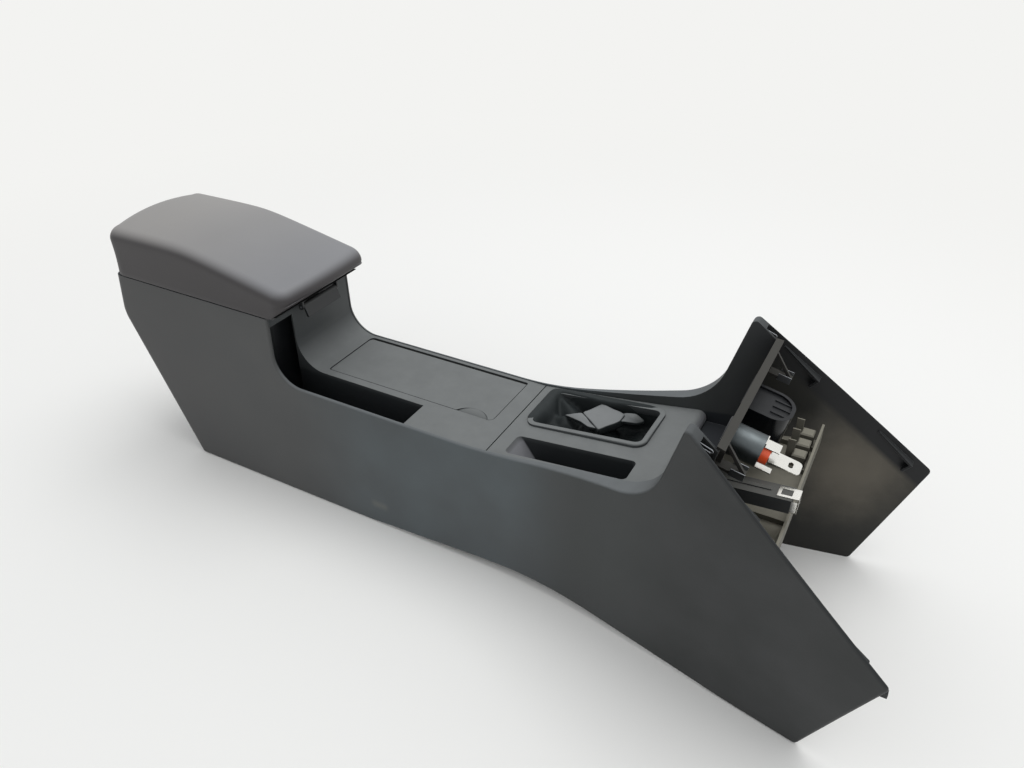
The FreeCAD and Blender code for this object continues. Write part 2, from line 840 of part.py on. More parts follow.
def spring_outer():
    return latch_pin_radius + pin_clearance + spring_wire


def latch_spring():
    """Closely wound return spring on the latch pin, drawn as a sleeve with a groove between its turns."""
    end = spring_start() + spring_coils * spring_wire
    outer = spring_outer()
    sleeve = latch_rod(spring_start(), end, outer).cut(latch_rod(spring_start(), end, outer - spring_wire))
    groove = spring_wire / 3
    for turn in range(1, spring_coils):
        y = spring_start() + turn * spring_wire
        ring = latch_rod(y - groove / 2, y + groove / 2, outer + bite)
        sleeve = sleeve.cut(ring.cut(latch_rod(y - groove / 2, y + groove / 2, outer - groove)))
    return sleeve


def latch_cut():
    """Notch in the bin's front wall that takes the latch hook."""
    reach = latch_hook_width / 2 + latch_notch_gap
    rear = wall_seat_x - lining_wall - body_wall
    low = latch_z - latch_paddle_drop
    return box(rear, latch_y - reach, low, bin_front_x + bite, latch_y + reach, lid_floor)


def cup_panel():
    top = parting_height - seam_gap
    rear = wall_seat_x + seat_gap
    low = seat_height + seat_gap
    front = joint_x - joint_gap / 2
    strip = [
        (wall_face_x, top, 0.0),
        (rear, top, 0.0),
        (rear, low, knee_radius + panel_drop + panel_wall),
        (front, low, 0.0),
        (front, panel_top, 0.0),
        (wall_face_x, panel_top, knee_radius + panel_drop),
    ]
    edge_plan = plan_block(rim_width + seam_gap, return_flare_floor, return_flare_crown)
    panel = across(strip).common(edge_plan)
    slot_top = parting_height - slot_top_drop
    slot = box(0, -far_reach, 0, slot_front_x, slot_far_y, slot_top)
    flange_low = seat_height - slot_flange_depth
    under = panel_top - bite
    flange = across([
        (rear, slot_top, 0.0),
        (rear, flange_low, 0.0),
        (slot_front_x + panel_wall, flange_low, 0.0),
        (slot_front_x + panel_wall, under, 0.0),
        (wall_face_x, under, knee_radius + panel_drop + bite),
        (wall_face_x, slot_top, 0.0),
    ])
    flange = flange.common(box(0, slot_far_y, 0, far_reach, slot_far_y + panel_wall, far_reach))
    ramp = across([
        (slot_front_x, under, 0.0),
        (slot_front_x - slot_ramp, flange_low, 0.0),
        (slot_front_x - slot_ramp + panel_wall, flange_low, 0.0),
        (slot_front_x + panel_wall, under, 0.0),
    ])
    ramp = ramp.common(box(0, -far_reach, 0, far_reach, slot_far_y + panel_wall, far_reach))
    end_plan = plan_block(rim_width + ledge_width + seam_gap, return_flare_floor, return_flare_crown)
    panel = panel.cut(slot).fuse([flange, ramp.common(end_plan)])
    lid_edge = cup_lid_outline(cup_lid_gap, cup_lid_wide_gap, cup_opening_corner)
    lid_opening = slab(lid_edge, seat_height - insert_depth, panel_top + open_margin)
    return panel.cut(lid_opening).cut(latch_cut()).removeSplitter()


def cup_lid_outline(gap, wide_gap, round_corner):
    """Plan of the cup lid, or of its opening when gaps are given; the far rear corner is the round one."""
    x0 = cup_lid_rear_x - wide_gap
    x1 = cup_lid_front_x + gap
    y0 = cup_lid_near_y - gap
    y1 = cup_lid_far_y + wide_gap
    corner = cup_lid_corner + gap
    return [(x0, y0, corner), (x1, y0, 2 * corner), (x1, y1, corner), (x0, y1, round_corner)]


def cup_places():
    middle_x = (cup_lid_rear_x + cup_lid_front_x) / 2
    middle_y = (cup_lid_near_y + cup_lid_far_y) / 2
    return [V(middle_x + side * cup_spacing / 2, middle_y, 0) for side in (-1, 1)]


def cup_insert():
    top = seat_height
    x0 = cup_lid_rear_x - moving_gap
    y0 = cup_lid_near_y - moving_gap
    x1 = cup_lid_front_x + moving_gap
    y1 = cup_lid_far_y + moving_gap
    floor = panel_top - insert_depth
    w = insert_wall
    edge = w + insert_flange
    tub = box(x0 - w, y0 - w, floor - w, x1 + w, y1 + w, top)
    tub = tub.fuse(box(x0 - edge, y0 - edge, top - insert_flange_wall, x1 + edge, y1 + w, top))
    for place in cup_places():
        tub = tub.fuse(rod(place + V(0, 0, floor - cup_depth - w), place + V(0, 0, floor), cup_radius + w))
    tub = tub.cut(box(x0, y0 + w, floor, x1, y1, panel_top + bite))
    for place in cup_places():
        tub = tub.cut(rod(place + V(0, 0, floor - cup_depth), place + V(0, 0, floor + bite), cup_radius))
    return tub.cut(cup_lid_pin()).removeSplitter()


def cup_lid_pin():
    over = moving_gap + insert_wall
    return cup_rod(cup_lid_rear_x - over, cup_lid_front_x + over, cup_lid_pin_radius)


def cup_rod(rear, front, radius):
    """Round form on the cup lid's axis."""
    return rod(V(rear, cup_axis_y, cup_axis_z), V(front, cup_axis_y, cup_axis_z), radius)


def cup_lid():
    low = panel_top - cup_lid_wall
    plate = box(cup_lid_rear_x, cup_lid_near_y, low, cup_lid_front_x, cup_axis_y, panel_top)
    plate = plate.fuse(cup_rod(cup_lid_rear_x, cup_lid_front_x, cup_lid_knuckle))
    plate = plate.common(slab(cup_lid_outline(0.0, 0.0, cup_lid_round_corner), bin_floor, panel_top))
    half = notch_length / 2
    arc_radius = (half * half + notch_depth * notch_depth) / (2 * notch_depth)
    slope = math.radians(notch_slope_deg)
    foot = V(cup_lid_front_x - notch_front_inset - half, cup_lid_near_y + notch_depth - arc_radius,
             panel_top - arc_radius * math.tan(slope))
    dish = rod(foot, foot + V(0, -math.sin(slope), math.cos(slope)) * open_margin, arc_radius)
    hole = cup_rod(cup_lid_rear_x - bite, cup_lid_front_x + bite, cup_lid_pin_radius + pin_clearance)
    return plate.cut(dish).cut(hole).removeSplitter()


def shift_panel():
    low = -panel_wall
    strip = [
        (0.0, low, 0.0),
        (shift_length - panel_wall - bite, low, shift_lip_radius - panel_wall),
        (shift_length - panel_wall + bite, -shift_lip_drop, 0.0),
        (shift_length + bite, -shift_lip_drop, 0.0),
        (shift_length, 0.0, shift_lip_radius),
        (0.0, 0.0, 0.0),
    ]
    edge_plan = plan_block(rim_width + seam_gap, return_flare_floor, return_flare_crown)
    panel = shift_frame(across(strip)).common(edge_plan).cut(near_gap(bin_floor, parting_height))
    panel = panel.fuse(shift_frame(tray_block(tray_wall, -tray_depth - tray_wall, -bite)))
    panel = panel.cut(shift_frame(tray_block(0.0, -tray_depth, open_margin)))
    hole = boot_outline(boot_rim - boot_skirt_wall - seam_gap)
    return panel.cut(shift_frame(slab(hole, -open_margin, open_margin))).removeSplitter()


def tray_block(grow, low, high):
    """Coin tray with a long rear ramp and drafted sides, grown for its shell."""
    wires = []
    for z in (low, high):
        share = -z / tray_depth
        rear = tray_start + tray_rear_slope * share - grow
        front = tray_start + tray_length - tray_front_slope * share + grow
        near = tray_near_y + tray_near_slope * share - grow
        far = tray_far_y - tray_far_slope * share + grow
        wires.append(slab_wire(rounded_rectangle(rear, near, front, far, tray_corner), z))
    return Part.makeLoft(wires, True, True)


def boot_outline(step_in):
    radius = max(boot_corner - step_in, 1.0)
    return rounded_rectangle(boot_start + step_in, boot_near_y + step_in,
                             boot_start + boot_length - step_in, boot_far_y - step_in, radius)


def boot_frame():
    """Frame round the boot, with a bead that sinks away towards the far rear corner."""
    ring = slab(boot_outline(0.0), 0.0, boot_rim_height)
    top_edges = [e for e in ring.Edges if all(p.Z > boot_rim_height / 2 for p in e.Vertexes)]
    ring = ring.makeFillet(boot_rim_round, top_edges)
    fall = (boot_rim_height - boot_rim_low) / 2
    above = box(-far_reach, -far_reach, 0, far_reach, far_reach, far_reach)
    above.rotate(V(0, 0, 0), V(1, 0, 0), -math.degrees(math.atan2(fall, boot_far_y - boot_near_y)))
    above.rotate(V(0, 0, 0), V(0, 1, 0), -math.degrees(math.atan2(fall, boot_length)))
    above.translate(V(boot_start + boot_length, boot_near_y, boot_rim_height))
    skirt = slab(boot_outline(boot_rim - boot_skirt_wall), -boot_skirt, boot_rim_low / 2)
    ring = ring.cut(above).fuse(skirt)
    return shift_frame(ring.cut(slab(boot_outline(boot_rim), -open_margin, open_margin)).removeSplitter())


def shift_boot():
    """Collapsed boot: a sagging skirt that folds back up to a flat, turned top."""
    edge = boot_rim + pad_gap
    x = boot_start + boot_length / 2
    y = (boot_near_y + boot_far_y) / 2
    ring = slab(boot_outline(edge), -boot_skirt, 0.0)
    foot = boot_outline(edge + boot_draw_in)
    outside = [slab_wire(boot_outline(edge), -boot_skirt), slab_wire(foot, -boot_sag)]
    skirt = Part.makeLoft(outside, True, True)
    inside = [slab_wire(boot_outline(edge + boot_wall), bite), slab_wire(foot, -boot_sag + boot_wall)]
    skirt = skirt.fuse(ring).cut(Part.makeLoft(inside, True, True))
    a = boot_top_length / 2
    b = boot_top_width / 2
    low_a = a * boot_neck_spread
    low_b = b * boot_neck_spread
    base = rounded_rectangle(x - low_a, y - low_b, x + low_a, y + low_b, boot_top_corner * 2)
    turn_a = a * boot_top_turn / 2
    turn_b = b * boot_top_turn
    turned = [(x - a, y - turn_b), (x + turn_a, y - b), (x + a, y + turn_b), (x - turn_a, y + b)]
    diamond = [(corner_x, corner_y, boot_top_corner) for corner_x, corner_y in turned]
    neck = Part.makeLoft([slab_wire(base, -boot_sag), slab_wire(diamond, boot_top_rise)], True, True)
    return shift_frame(skirt.fuse(neck).removeSplitter())


def slab_wire(corners, z):
    return outline(corners, plane_xy(z))


def front_panel():
    """Leaning closing panel, cut to the walls of its pocket, with a gusset for each trim clip."""
    foot = front_wall * math.tan(front_lean) + seat_gap
    plate = box(-far_reach, foot, 0, far_reach, front_height, front_wall)
    flange = box(-far_reach, front_height - front_flange_wall, 0, far_reach, front_height, front_flange)
    parts = [flange]
    end = front_wall + tower_length
    arm_low = clip_up - tower_wall
    for side in (-1, 1):
        y = clip_middle(side)
        arm = box(y - clip_width / 2, arm_low, front_wall - bite, y + clip_width / 2, clip_up, end)
        gusset = [
            (arm_low, front_wall - bite, 0.0),
            (front_height, front_wall - bite, 0.0),
            (front_height, front_wall, 0.0),
            (clip_up, end, 0.0),
            (arm_low, end, 0.0),
        ]
        gusset = Part.Face(outline(gusset, lambda up, out: V(y - tower_wall / 2, up, out)))
        rise = (front_height - clip_up) / tower_length
        reach = tower_length - 2 * tower_window
        window = [
            (clip_up, front_wall + tower_window, 0.0),
            (clip_up + rise * reach, front_wall + tower_window, 0.0),
            (clip_up, front_wall + tower_window + reach, 0.0),
        ]
        window = Part.Face(outline(window, lambda up, out: V(y - tower_wall, up, out)))
        gusset = gusset.extrude(V(tower_wall, 0, 0)).cut(window.extrude(V(2 * tower_wall, 0, 0)))
        parts += [arm, gusset]
    plate = plate.fuse(parts)
    hole = rod(V(socket_y, socket_up, -bite), V(socket_y, socket_up, front_wall + bite), socket_neck_radius)
    plate = plate.cut(hole)
    plate = plate.cut(slab(housing_outline(-seam_gap), -bite, front_wall + bite))
    edge_plan = plan_block(rim_width + seam_gap, return_flare_floor, return_flare_crown)
    return front_frame(plate.removeSplitter()).common(edge_plan).removeSplitter()


def clip_middle(side):
    at = front_place(0, clip_up, 0)
    return side * (pocket_half(at.x, at.z) - clip_edge_gap)


def housing_outline(step_in):
    half = housing_width / 2 - step_in
    low = housing_up - housing_height / 2 + step_in
    high = housing_up + housing_height / 2 - step_in
    return rounded_rectangle(housing_y - half, low, housing_y + half, high, 0.0)


def socket_shell():
    neck_start = -bezel_wall + seam_gap
    shell = rod(V(0, 0, front_wall), V(0, 0, socket_length), socket_barrel_radius)
    shell = shell.fuse(rod(V(0, 0, neck_start), V(0, 0, front_wall), socket_neck_radius))
    bore_end = socket_length - socket_end_wall
    shell = shell.cut(rod(V(0, 0, neck_start - bite), V(0, 0, bore_end), socket_bore_radius))
    shell = shell.cut(rod(V(0, 0, 0), V(0, 0, socket_length + bite), contact_radius + insulator_wall))
    shell.translate(V(socket_y, socket_up, 0))
    return front_frame(shell.removeSplitter())


def socket_bezel():
    ring = rod(V(0, 0, -bezel_wall), V(0, 0, 0), bezel_radius)
    edges = [e for e in ring.Edges if e.CenterOfMass.z < -bezel_wall + seat_gap]
    ring = ring.makeFillet(bezel_wall / 2, edges)
    ring = ring.cut(rod(V(0, 0, -bezel_wall - bite), V(0, 0, bite), socket_neck_radius))
    ring.translate(V(socket_y, socket_up, 0))
    return front_frame(ring)


def socket_insulator():
    end = socket_length + insulator_length
    cap = rod(V(0, 0, socket_length), V(0, 0, end), insulator_radius)
    neck_radius = contact_radius + insulator_wall
    neck = rod(V(0, 0, socket_length - socket_end_wall), V(0, 0, socket_length), neck_radius)
    cap = cap.fuse(neck).cut(rod(V(0, 0, 0), V(0, 0, end + bite), contact_radius))
    cap.translate(V(socket_y, socket_up, 0))
    return front_frame(cap.removeSplitter())


def socket_contact():
    start = socket_length - socket_end_wall
    contact = rod(V(0, 0, start), V(0, 0, socket_length + insulator_length), contact_radius)
    contact.translate(V(socket_y, socket_up, 0))
    return front_frame(contact)


def socket_terminals():
    """Bright tongue with an oval hole, a strap over the insulator and the earth tab."""
    start = socket_length + insulator_length
    foot_end = start + terminal_wall
    half = terminal_width / 2
    end = terminal_length
    tongue = [(-half, 0, 0), (half, 0, 0), (half, end, half / 2), (-half, end, half / 2)]
    tongue = slab(tongue, -terminal_wall / 2, terminal_wall / 2)
    hole_low = end - half - terminal_hole / 2
    hole_high = hole_low + terminal_hole
    hole = rounded_rectangle(-terminal_hole, hole_low, terminal_hole, hole_high, terminal_hole_round)
    tongue = tongue.cut(slab(hole, -bite, bite))
    tongue.rotate(V(0, 0, 0), V(1, 0, 0), 90)
    tongue.translate(V(socket_y, socket_up, foot_end))
    foot = rod(V(socket_y, socket_up, start), V(socket_y, socket_up, foot_end), terminal_foot)
    low = socket_up + insulator_radius + seat_gap
    near = socket_y - strap_width / 2
    far = socket_y + strap_width / 2
    strap = box(near, low, socket_length, far, low + terminal_wall, socket_length + strap_length)
    seat_top = socket_up + socket_barrel_radius - bite
    strap = strap.fuse(box(near, low, socket_length, far, seat_top, socket_length + terminal_wall))
    side = socket_up - socket_barrel_radius
    tab = ground_tab_width / 2
    tab_end = socket_length + ground_tab_length
    earth = box(socket_y - tab, side - terminal_wall, 2 * front_wall, socket_y + tab, side, tab_end)
    pieces = [tongue.fuse(foot).removeSplitter(), strap.removeSplitter(), earth]
    return Part.makeCompound([front_frame(piece) for piece in pieces])


def housing_block(step_in, low, high, rear):
    """Block with a round end towards the dash, between two heights up the panel."""
    half = housing_width / 2 - step_in
    end = front_wall + housing_length - step_in
    radius = housing_end_radius - step_in
    corners = [(housing_y - half, rear, 0.0), (housing_y + half, rear, 0.0)]
    corners += [(housing_y + half, end, radius), (housing_y - half, end, radius)]
    face = Part.Face(outline(corners, lambda y, out: V(y, low, out)))
    return face.extrude(V(0, high - low, 0))


def second_housing():
    """Round-ended connector housing with a raised rim along its top and fins inside the rim."""
    low = housing_up - housing_height / 2
    high = housing_up + housing_height / 2
    floor = high - housing_recess
    body = housing_block(0.0, low, high, 0.0)
    body = body.cut(housing_block(housing_rib, floor, high + bite, front_wall + housing_rib))
    body = body.cut(housing_block(housing_wall, low + housing_wall, floor - housing_wall, -bite))
    body = body.cut(slab(housing_outline(housing_wall), -bite, front_wall))
    fins = []
    fin_half = housing_rib / 4
    fin_top = high - housing_recess / 2
    fin_front = front_wall + housing_length - housing_rib
    fin_rear = fin_front - housing_fin_length
    for step in (-1, 0, 1):
        y = housing_y + step * housing_fin_pitch
        fins.append(box(y - fin_half, floor - bite, fin_rear, y + fin_half, fin_top, fin_front))
    lip = slab(housing_outline(-housing_wall), front_wall, front_wall + housing_wall)
    lip = lip.cut(slab(housing_outline(0.0), 0, far_reach))
    return front_frame(body.fuse(fins + [lip]).removeSplitter())


def second_cover():
    """Plain cover on the cabin side, with a plug that fits the housing's mouth."""
    plate = slab(housing_outline(-cover_margin), -cover_wall, 0.0)
    plug = slab(housing_outline(housing_wall + seat_gap), -cover_wall / 2, front_wall)
    return front_frame(plate.fuse(plug).removeSplitter())


def lamp_block(grow, rear, front, low, high):
    """Stretch of the lamp holder's rising bar, between two heights above its underside."""
    base = lean_front(lamp_base_height)[0]
    slope = lamp_rise / (lamp_front_x - base)

    def corner(x, up):
        return (x, lamp_base_height + up + (x - base) * slope, 0.0)

    bar = across([corner(rear, low), corner(front, low), corner(front, high), corner(rear, high)])
    half = lamp_width / 2 + grow
    return bar.common(box(0, lamp_y - half, 0, 2 * far_reach, lamp_y + half, far_reach))


def lamp_holder():
    behind = front_foot_x - open_margin
    ridge_end = lamp_front_x - lamp_clip_length
    bar = lamp_block(0.0, behind, lamp_front_x, 0.0, lamp_height)
    ridge_inset = (lamp_ridge_width - lamp_width) / 2
    ridge_top = lamp_height + lamp_ridge_height
    bar = bar.fuse(lamp_block(ridge_inset, behind, ridge_end, lamp_height - bite, ridge_top))
    panel_side = box(-far_reach, 0, -far_reach, far_reach, far_reach, front_wall)
    return bar.cut(front_frame(panel_side)).removeSplitter()


def lamp_clip():
    """Bright U clip sprung over the end of the lamp holder, with a window in its top."""
    t = lamp_clip_wall
    rear = lamp_front_x - lamp_clip_grip
    front = rear + lamp_clip_length
    clip = lamp_block(-lamp_clip_side, rear, front, -t, lamp_height + t)
    clip = clip.cut(lamp_block(bite, rear - bite, front - t, 0.0, lamp_height))
    high = lamp_height + 2 * t
    return clip.cut(lamp_block(-2 * lamp_clip_side, rear + 3 * t, lamp_front_x - t, lamp_height - bite, high))


def trim_clips():
    """Steel spring clips pushed onto the arm of each gusset."""
    clips = []
    low = clip_up - tower_wall - seat_gap
    end = front_wall + tower_length
    for side in (-1, 1):
        y = clip_middle(side)
        half = clip_width / 2 + seat_gap
        wall = half + clip_wall
        clip = box(y - wall, low - clip_wall, end - clip_length, y + wall, low + clip_side_height, end)
        clip = clip.cut(box(y - half, low, 0, y + half, far_reach, far_reach))
        clips.append(front_frame(clip))
    return Part.makeCompound(clips)


def bracket_top():
    return front_foot_height - lining_wall - seat_gap


def bracket_screw_places():
    x = bracket_rear_x() + bracket_lap / 2
    return [V(x, side * bracket_screw_spread, 0) for side in (-1, 1)]


def bracket_screw_shanks():
    low = V(0, 0, bracket_top() - bracket_wall)
    high = V(0, 0, front_foot_height)
    return [rod(place + low, place + high, bracket_screw_radius) for place in bracket_screw_places()]


def bracket_rear_x():
    return lean_front(front_foot_height)[0] - bracket_lap


def cross_bracket():
    top = bracket_top()
    low = top - bracket_wall
    rear = bracket_rear_x()
    front = bracket_front_x
    half = bracket_half_width
    rear_half = pocket_half(rear, top) - seam_gap
    plan = [(rear, -rear_half, 0), (front, -half, 0), (front, half, 0), (rear, rear_half, 0)]
    plate = slab(plan, low, top)
    parts = [box(front - bracket_wall, -half, low, front, half, top + bracket_lip_height)]
    rib_rear = lean_front(top)[0] + bracket_wall
    rib_half = bracket_wall / 2
    rib_top = top + bracket_rib_height
    count = int(half / bracket_rib_pitch)
    for i in range(-count, count + 1):
        y = i * bracket_rib_pitch
        parts.append(box(rib_rear, y - rib_half, low, front, y + rib_half, rib_top))
    x = front - bracket_wall - block_size - block_set_back
    for i in range(3):
        y = block_first_y + i * block_pitch
        block = box(x, y - block_size / 2, low, x + block_size, y + block_size / 2, top + block_height)
        rim = [e for e in block.Edges if all(p.Z > top for p in e.Vertexes)]
        parts.append(block.makeChamfer(block_edge, rim))
        fin_top = top + block_height + fin_height
        parts.append(box(x - block_size / 2, y, low, x + bite, y + fin_wall, fin_top))
    boss_x = front - bracket_wall - boss_radius - bite
    parts.append(rod(V(boss_x, boss_y, low), V(boss_x, boss_y, top + boss_height), boss_radius))
    boss_hole = rod(V(boss_x, boss_y, low - bite), V(boss_x, boss_y, top + far_reach), boss_hole_radius)
    plate = plate.fuse(parts).cut(boss_hole)
    for hole in bracket_screw_shanks():
        plate = plate.cut(hole)
    print("bracket boss x %.3f y %.3f z %.3f" % (boss_x, boss_y, top + boss_height))
    return plate.removeSplitter()


def bracket_screws():
    screws = []
    high = V(0, 0, bracket_top() - bracket_wall)
    low = high - V(0, 0, bracket_screw_head_height)
    for place, shank in zip(bracket_screw_places(), bracket_screw_shanks()):
        head = rod(place + low, place + high, bracket_screw_head)
        screws.append(shank.fuse(head).removeSplitter())
    return Part.makeCompound(screws)


def hinge_screws():
    screws = []
    for shank in hinge_screw_shanks():
        x = shank.CenterOfMass.x
        y = shank.CenterOfMass.y
        seat = V(x, y, parting_height)
        head = rod(seat, seat + V(0, 0, hinge_screw_head_height), hinge_screw_head)
        screws.append(shank.fuse(head).removeSplitter())
    return Part.makeCompound(screws)


def build():
    makers = [
        console_body, bin_liner, armrest_lid_frame, armrest_pad, armrest_hinge_bracket, armrest_hinge_pin,
        hinge_screws, latch_paddle, latch_pin, latch_spring, cup_panel, cup_insert, cup_lid, cup_lid_pin,
        shift_panel, boot_frame, shift_boot, front_panel, socket_shell, socket_bezel, socket_insulator,
        socket_contact, socket_terminals, second_housing, second_cover, lamp_holder, lamp_clip,
        trim_clips, cross_bracket, bracket_screws,
    ]
    return {maker.__name__: maker() for maker in makers}


def main():
    os.makedirs("parts", exist_ok=True)
    nodes = build()
    whole = Part.makeCompound(list(nodes.values())).optimalBoundingBox(False)
    to_origin = V(-(whole.XMin + whole.XMax) / 2, -(whole.YMin + whole.YMax) / 2, -whole.ZMin)
    print("shift to origin", to_origin, "size", whole.XLength, whole.YLength, whole.ZLength)
    for name, shape in nodes.items():
        shape.translate(to_origin)
        state = (name, shape.isValid(), len(shape.Solids), shape.Volume)
        print("%-24s valid %s solids %d volume %.0f" % state)
        shape.exportStep("parts/" + name + ".step")


main()
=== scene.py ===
import math
import bmesh
import bpy
from mathutils import Matrix, Vector, noise


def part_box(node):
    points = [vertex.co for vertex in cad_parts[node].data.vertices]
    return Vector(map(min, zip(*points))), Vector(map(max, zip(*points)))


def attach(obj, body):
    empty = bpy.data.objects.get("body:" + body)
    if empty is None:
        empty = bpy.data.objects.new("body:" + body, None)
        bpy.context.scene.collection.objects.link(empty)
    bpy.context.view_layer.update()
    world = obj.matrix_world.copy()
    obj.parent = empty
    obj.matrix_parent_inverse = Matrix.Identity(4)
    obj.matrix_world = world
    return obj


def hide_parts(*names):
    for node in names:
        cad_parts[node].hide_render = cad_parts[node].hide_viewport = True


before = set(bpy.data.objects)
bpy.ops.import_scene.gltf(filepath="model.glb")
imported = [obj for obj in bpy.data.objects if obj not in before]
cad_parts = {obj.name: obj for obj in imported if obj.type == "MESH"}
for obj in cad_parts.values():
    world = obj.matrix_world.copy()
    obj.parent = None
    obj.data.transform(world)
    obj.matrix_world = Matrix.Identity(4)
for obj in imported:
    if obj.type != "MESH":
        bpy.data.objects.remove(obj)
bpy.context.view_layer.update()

print("frame loaded:", len(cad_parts), "CAD pieces")

mm = 0.001
weldMm = 0.02  # points of a mesh nearer than this are one
driftDetail = 5.0  # octaves in the slow drift of a finish's colour
mainBody = "console"

# the panels' top face, in millimetres: flat behind the joint, then rising towards the dash
panelTop = 169.2
panelJoint = 66.7
panelSlope = math.radians(6.5)


def panelHeight(x):
    return panelTop + max(0.0, x - panelJoint) * math.tan(panelSlope)


# shared helpers

def toLinear(hexColour):  # sRGB hex to linear RGBA
    parts = [int(hexColour[i:i + 2], 16) / 255 for i in (1, 3, 5)]
    return tuple(c / 12.92 if c <= 0.04045 else ((c + 0.055) / 1.055) ** 2.4 for c in parts) + (1.0,)


def patternScale(sizeMm):  # one pattern cell of sizeMm, in coordinates of metres
    return 1.0 / (sizeMm * mm)


def unitShare(value):
    return min(1.0, max(0.0, value))


def addNode(tree, kind, settings={}):  # a plain value is set, and a node or one of its outputs is linked
    node = tree.nodes.new("ShaderNode" + kind)
    for key, value in settings.items():
        if isinstance(value, bpy.types.Node):
            value = next(output for output in value.outputs if output.enabled)
        if isinstance(value, bpy.types.NodeSocket):
            tree.links.new(value, node.inputs[key])
        elif isinstance(key, str) and hasattr(node, key):
            setattr(node, key, value)
        else:
            node.inputs[key].default_value = value
    return node


def newMaterial(name, settings):
    material = bpy.data.materials.new(name)
    material.use_nodes = True
    tree = material.node_tree
    shader = tree.nodes["Principled BSDF"]
    for key, value in settings.items():
        shader.inputs[key].default_value = value
    coords = addNode(tree, "TexCoord")
    return material, tree, shader, coords


def heightOverPanel(tree, placeParts):  # metres above the top face of the panels
    past = addNode(tree, "Math",
                   {"operation": "SUBTRACT", 0: placeParts.outputs["X"], 1: panelJoint * mm})
    rising = addNode(tree, "Math", {"operation": "MAXIMUM", 0: past, 1: 0.0})
    plane = addNode(tree, "Math",
                    {"operation": "MULTIPLY_ADD", 0: rising, 1: math.tan(panelSlope), 2: panelTop * mm})
    return addNode(tree, "Math", {"operation": "SUBTRACT", 0: placeParts.outputs["Z"], 1: plane})


def newPiece(name, mesh, materials, body):
    piece = bpy.data.objects.new(name, mesh)
    bpy.context.scene.collection.objects.link(piece)
    for material in materials:
        mesh.materials.append(material)
    for face in mesh.polygons:
        face.use_smooth = True
    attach(piece, body)
    return piece


def ringMesh(name, forms):  # each form: its material's number, and closed rings of points in millimetres
    build = bmesh.new()
    for number, rings in forms:
        rows = [[build.verts.new(Vector(point) * mm) for point in ring] for ring in rings]
        for upper, lower in zip(rows, rows[1:]):
            for i in range(len(upper)):
                j = (i + 1) % len(upper)
                face = build.faces.new((upper[i], lower[i], lower[j], upper[j]))
                face.material_index = number
    bmesh.ops.remove_doubles(build, verts=build.verts, dist=weldMm * mm)
    bmesh.ops.recalc_face_normals(build, faces=build.faces)
    mesh = bpy.data.meshes.new(name)
    build.to_mesh(mesh)
    build.free()
    return mesh


# camera, at the photograph's own viewing angle
cameraLook = {
    "place": (0.437827, -0.684252, 0.727110),  # metres, in the part's frame
    "azimuthDeg": 28.966,
    "elevationDeg": 33.317,
    "rollDeg": -0.361,
    "lensMm": 28.713,
    "sensorMm": 36.0,
    "nearest": 0.01,  # metres: nothing nearer is shown
}


def makeCamera():
    azimuth = math.radians(cameraLook["azimuthDeg"])
    elevation = math.radians(cameraLook["elevationDeg"])
    roll = math.radians(cameraLook["rollDeg"])
    away = Vector((math.sin(azimuth) * math.cos(elevation), -math.cos(azimuth) * math.cos(elevation),
                   math.sin(elevation)))
    right = (-away).cross(Vector((0, 0, 1))).normalized()
    up = right.cross(-away)
    turnedRight = math.cos(roll) * right + math.sin(roll) * up
    turnedUp = math.cos(roll) * up - math.sin(roll) * right
    data = bpy.data.cameras.new("photoCamera")
    data.lens = cameraLook["lensMm"]
    data.sensor_width = cameraLook["sensorMm"]
    data.clip_start = cameraLook["nearest"]
    camera = bpy.data.objects.new("photoCamera", data)
    turn = Matrix((turnedRight, turnedUp, away)).transposed()
    camera.matrix_world = Matrix.Translation(cameraLook["place"]) @ turn.to_4x4()
    bpy.context.scene.collection.objects.link(camera)
    bpy.context.scene.camera = camera


# floor, world and one broad overhead softbox
studioLook = {
    "floorHex": "#f3f3f1", "floorRoughness": 0.8,
    "floorHalf": 30.0,  # metres
    "fadeFrom": 0.5, "fadeTo": 1.8,  # metres from the floor's middle, where it fades to its plain colour
    "worldHex": "#fbfcfd",
    "worldFill": 0.7,  # what the sky gives the object
    "worldShown": 1.0,  # what the camera and reflections see
    "boxPlace": (0.35, 0.7, 3.4), "boxAim": (0.0, 0.0, 0.2),
    "boxSize": 2.6,
    "boxWatts": 50.0,
}


def shownRays(tree):  # 1 for what the camera sees, straight, in a reflection or through glass
    ray = addNode(tree, "LightPath")
    either = addNode(tree, "Math",
                     {"operation": "MAXIMUM",
                      0: ray.outputs["Is Camera Ray"], 1: ray.outputs["Is Glossy Ray"]})
    return addNode(tree, "Math",
                   {"operation": "MAXIMUM", 0: either, 1: ray.outputs["Is Transmission Ray"]})


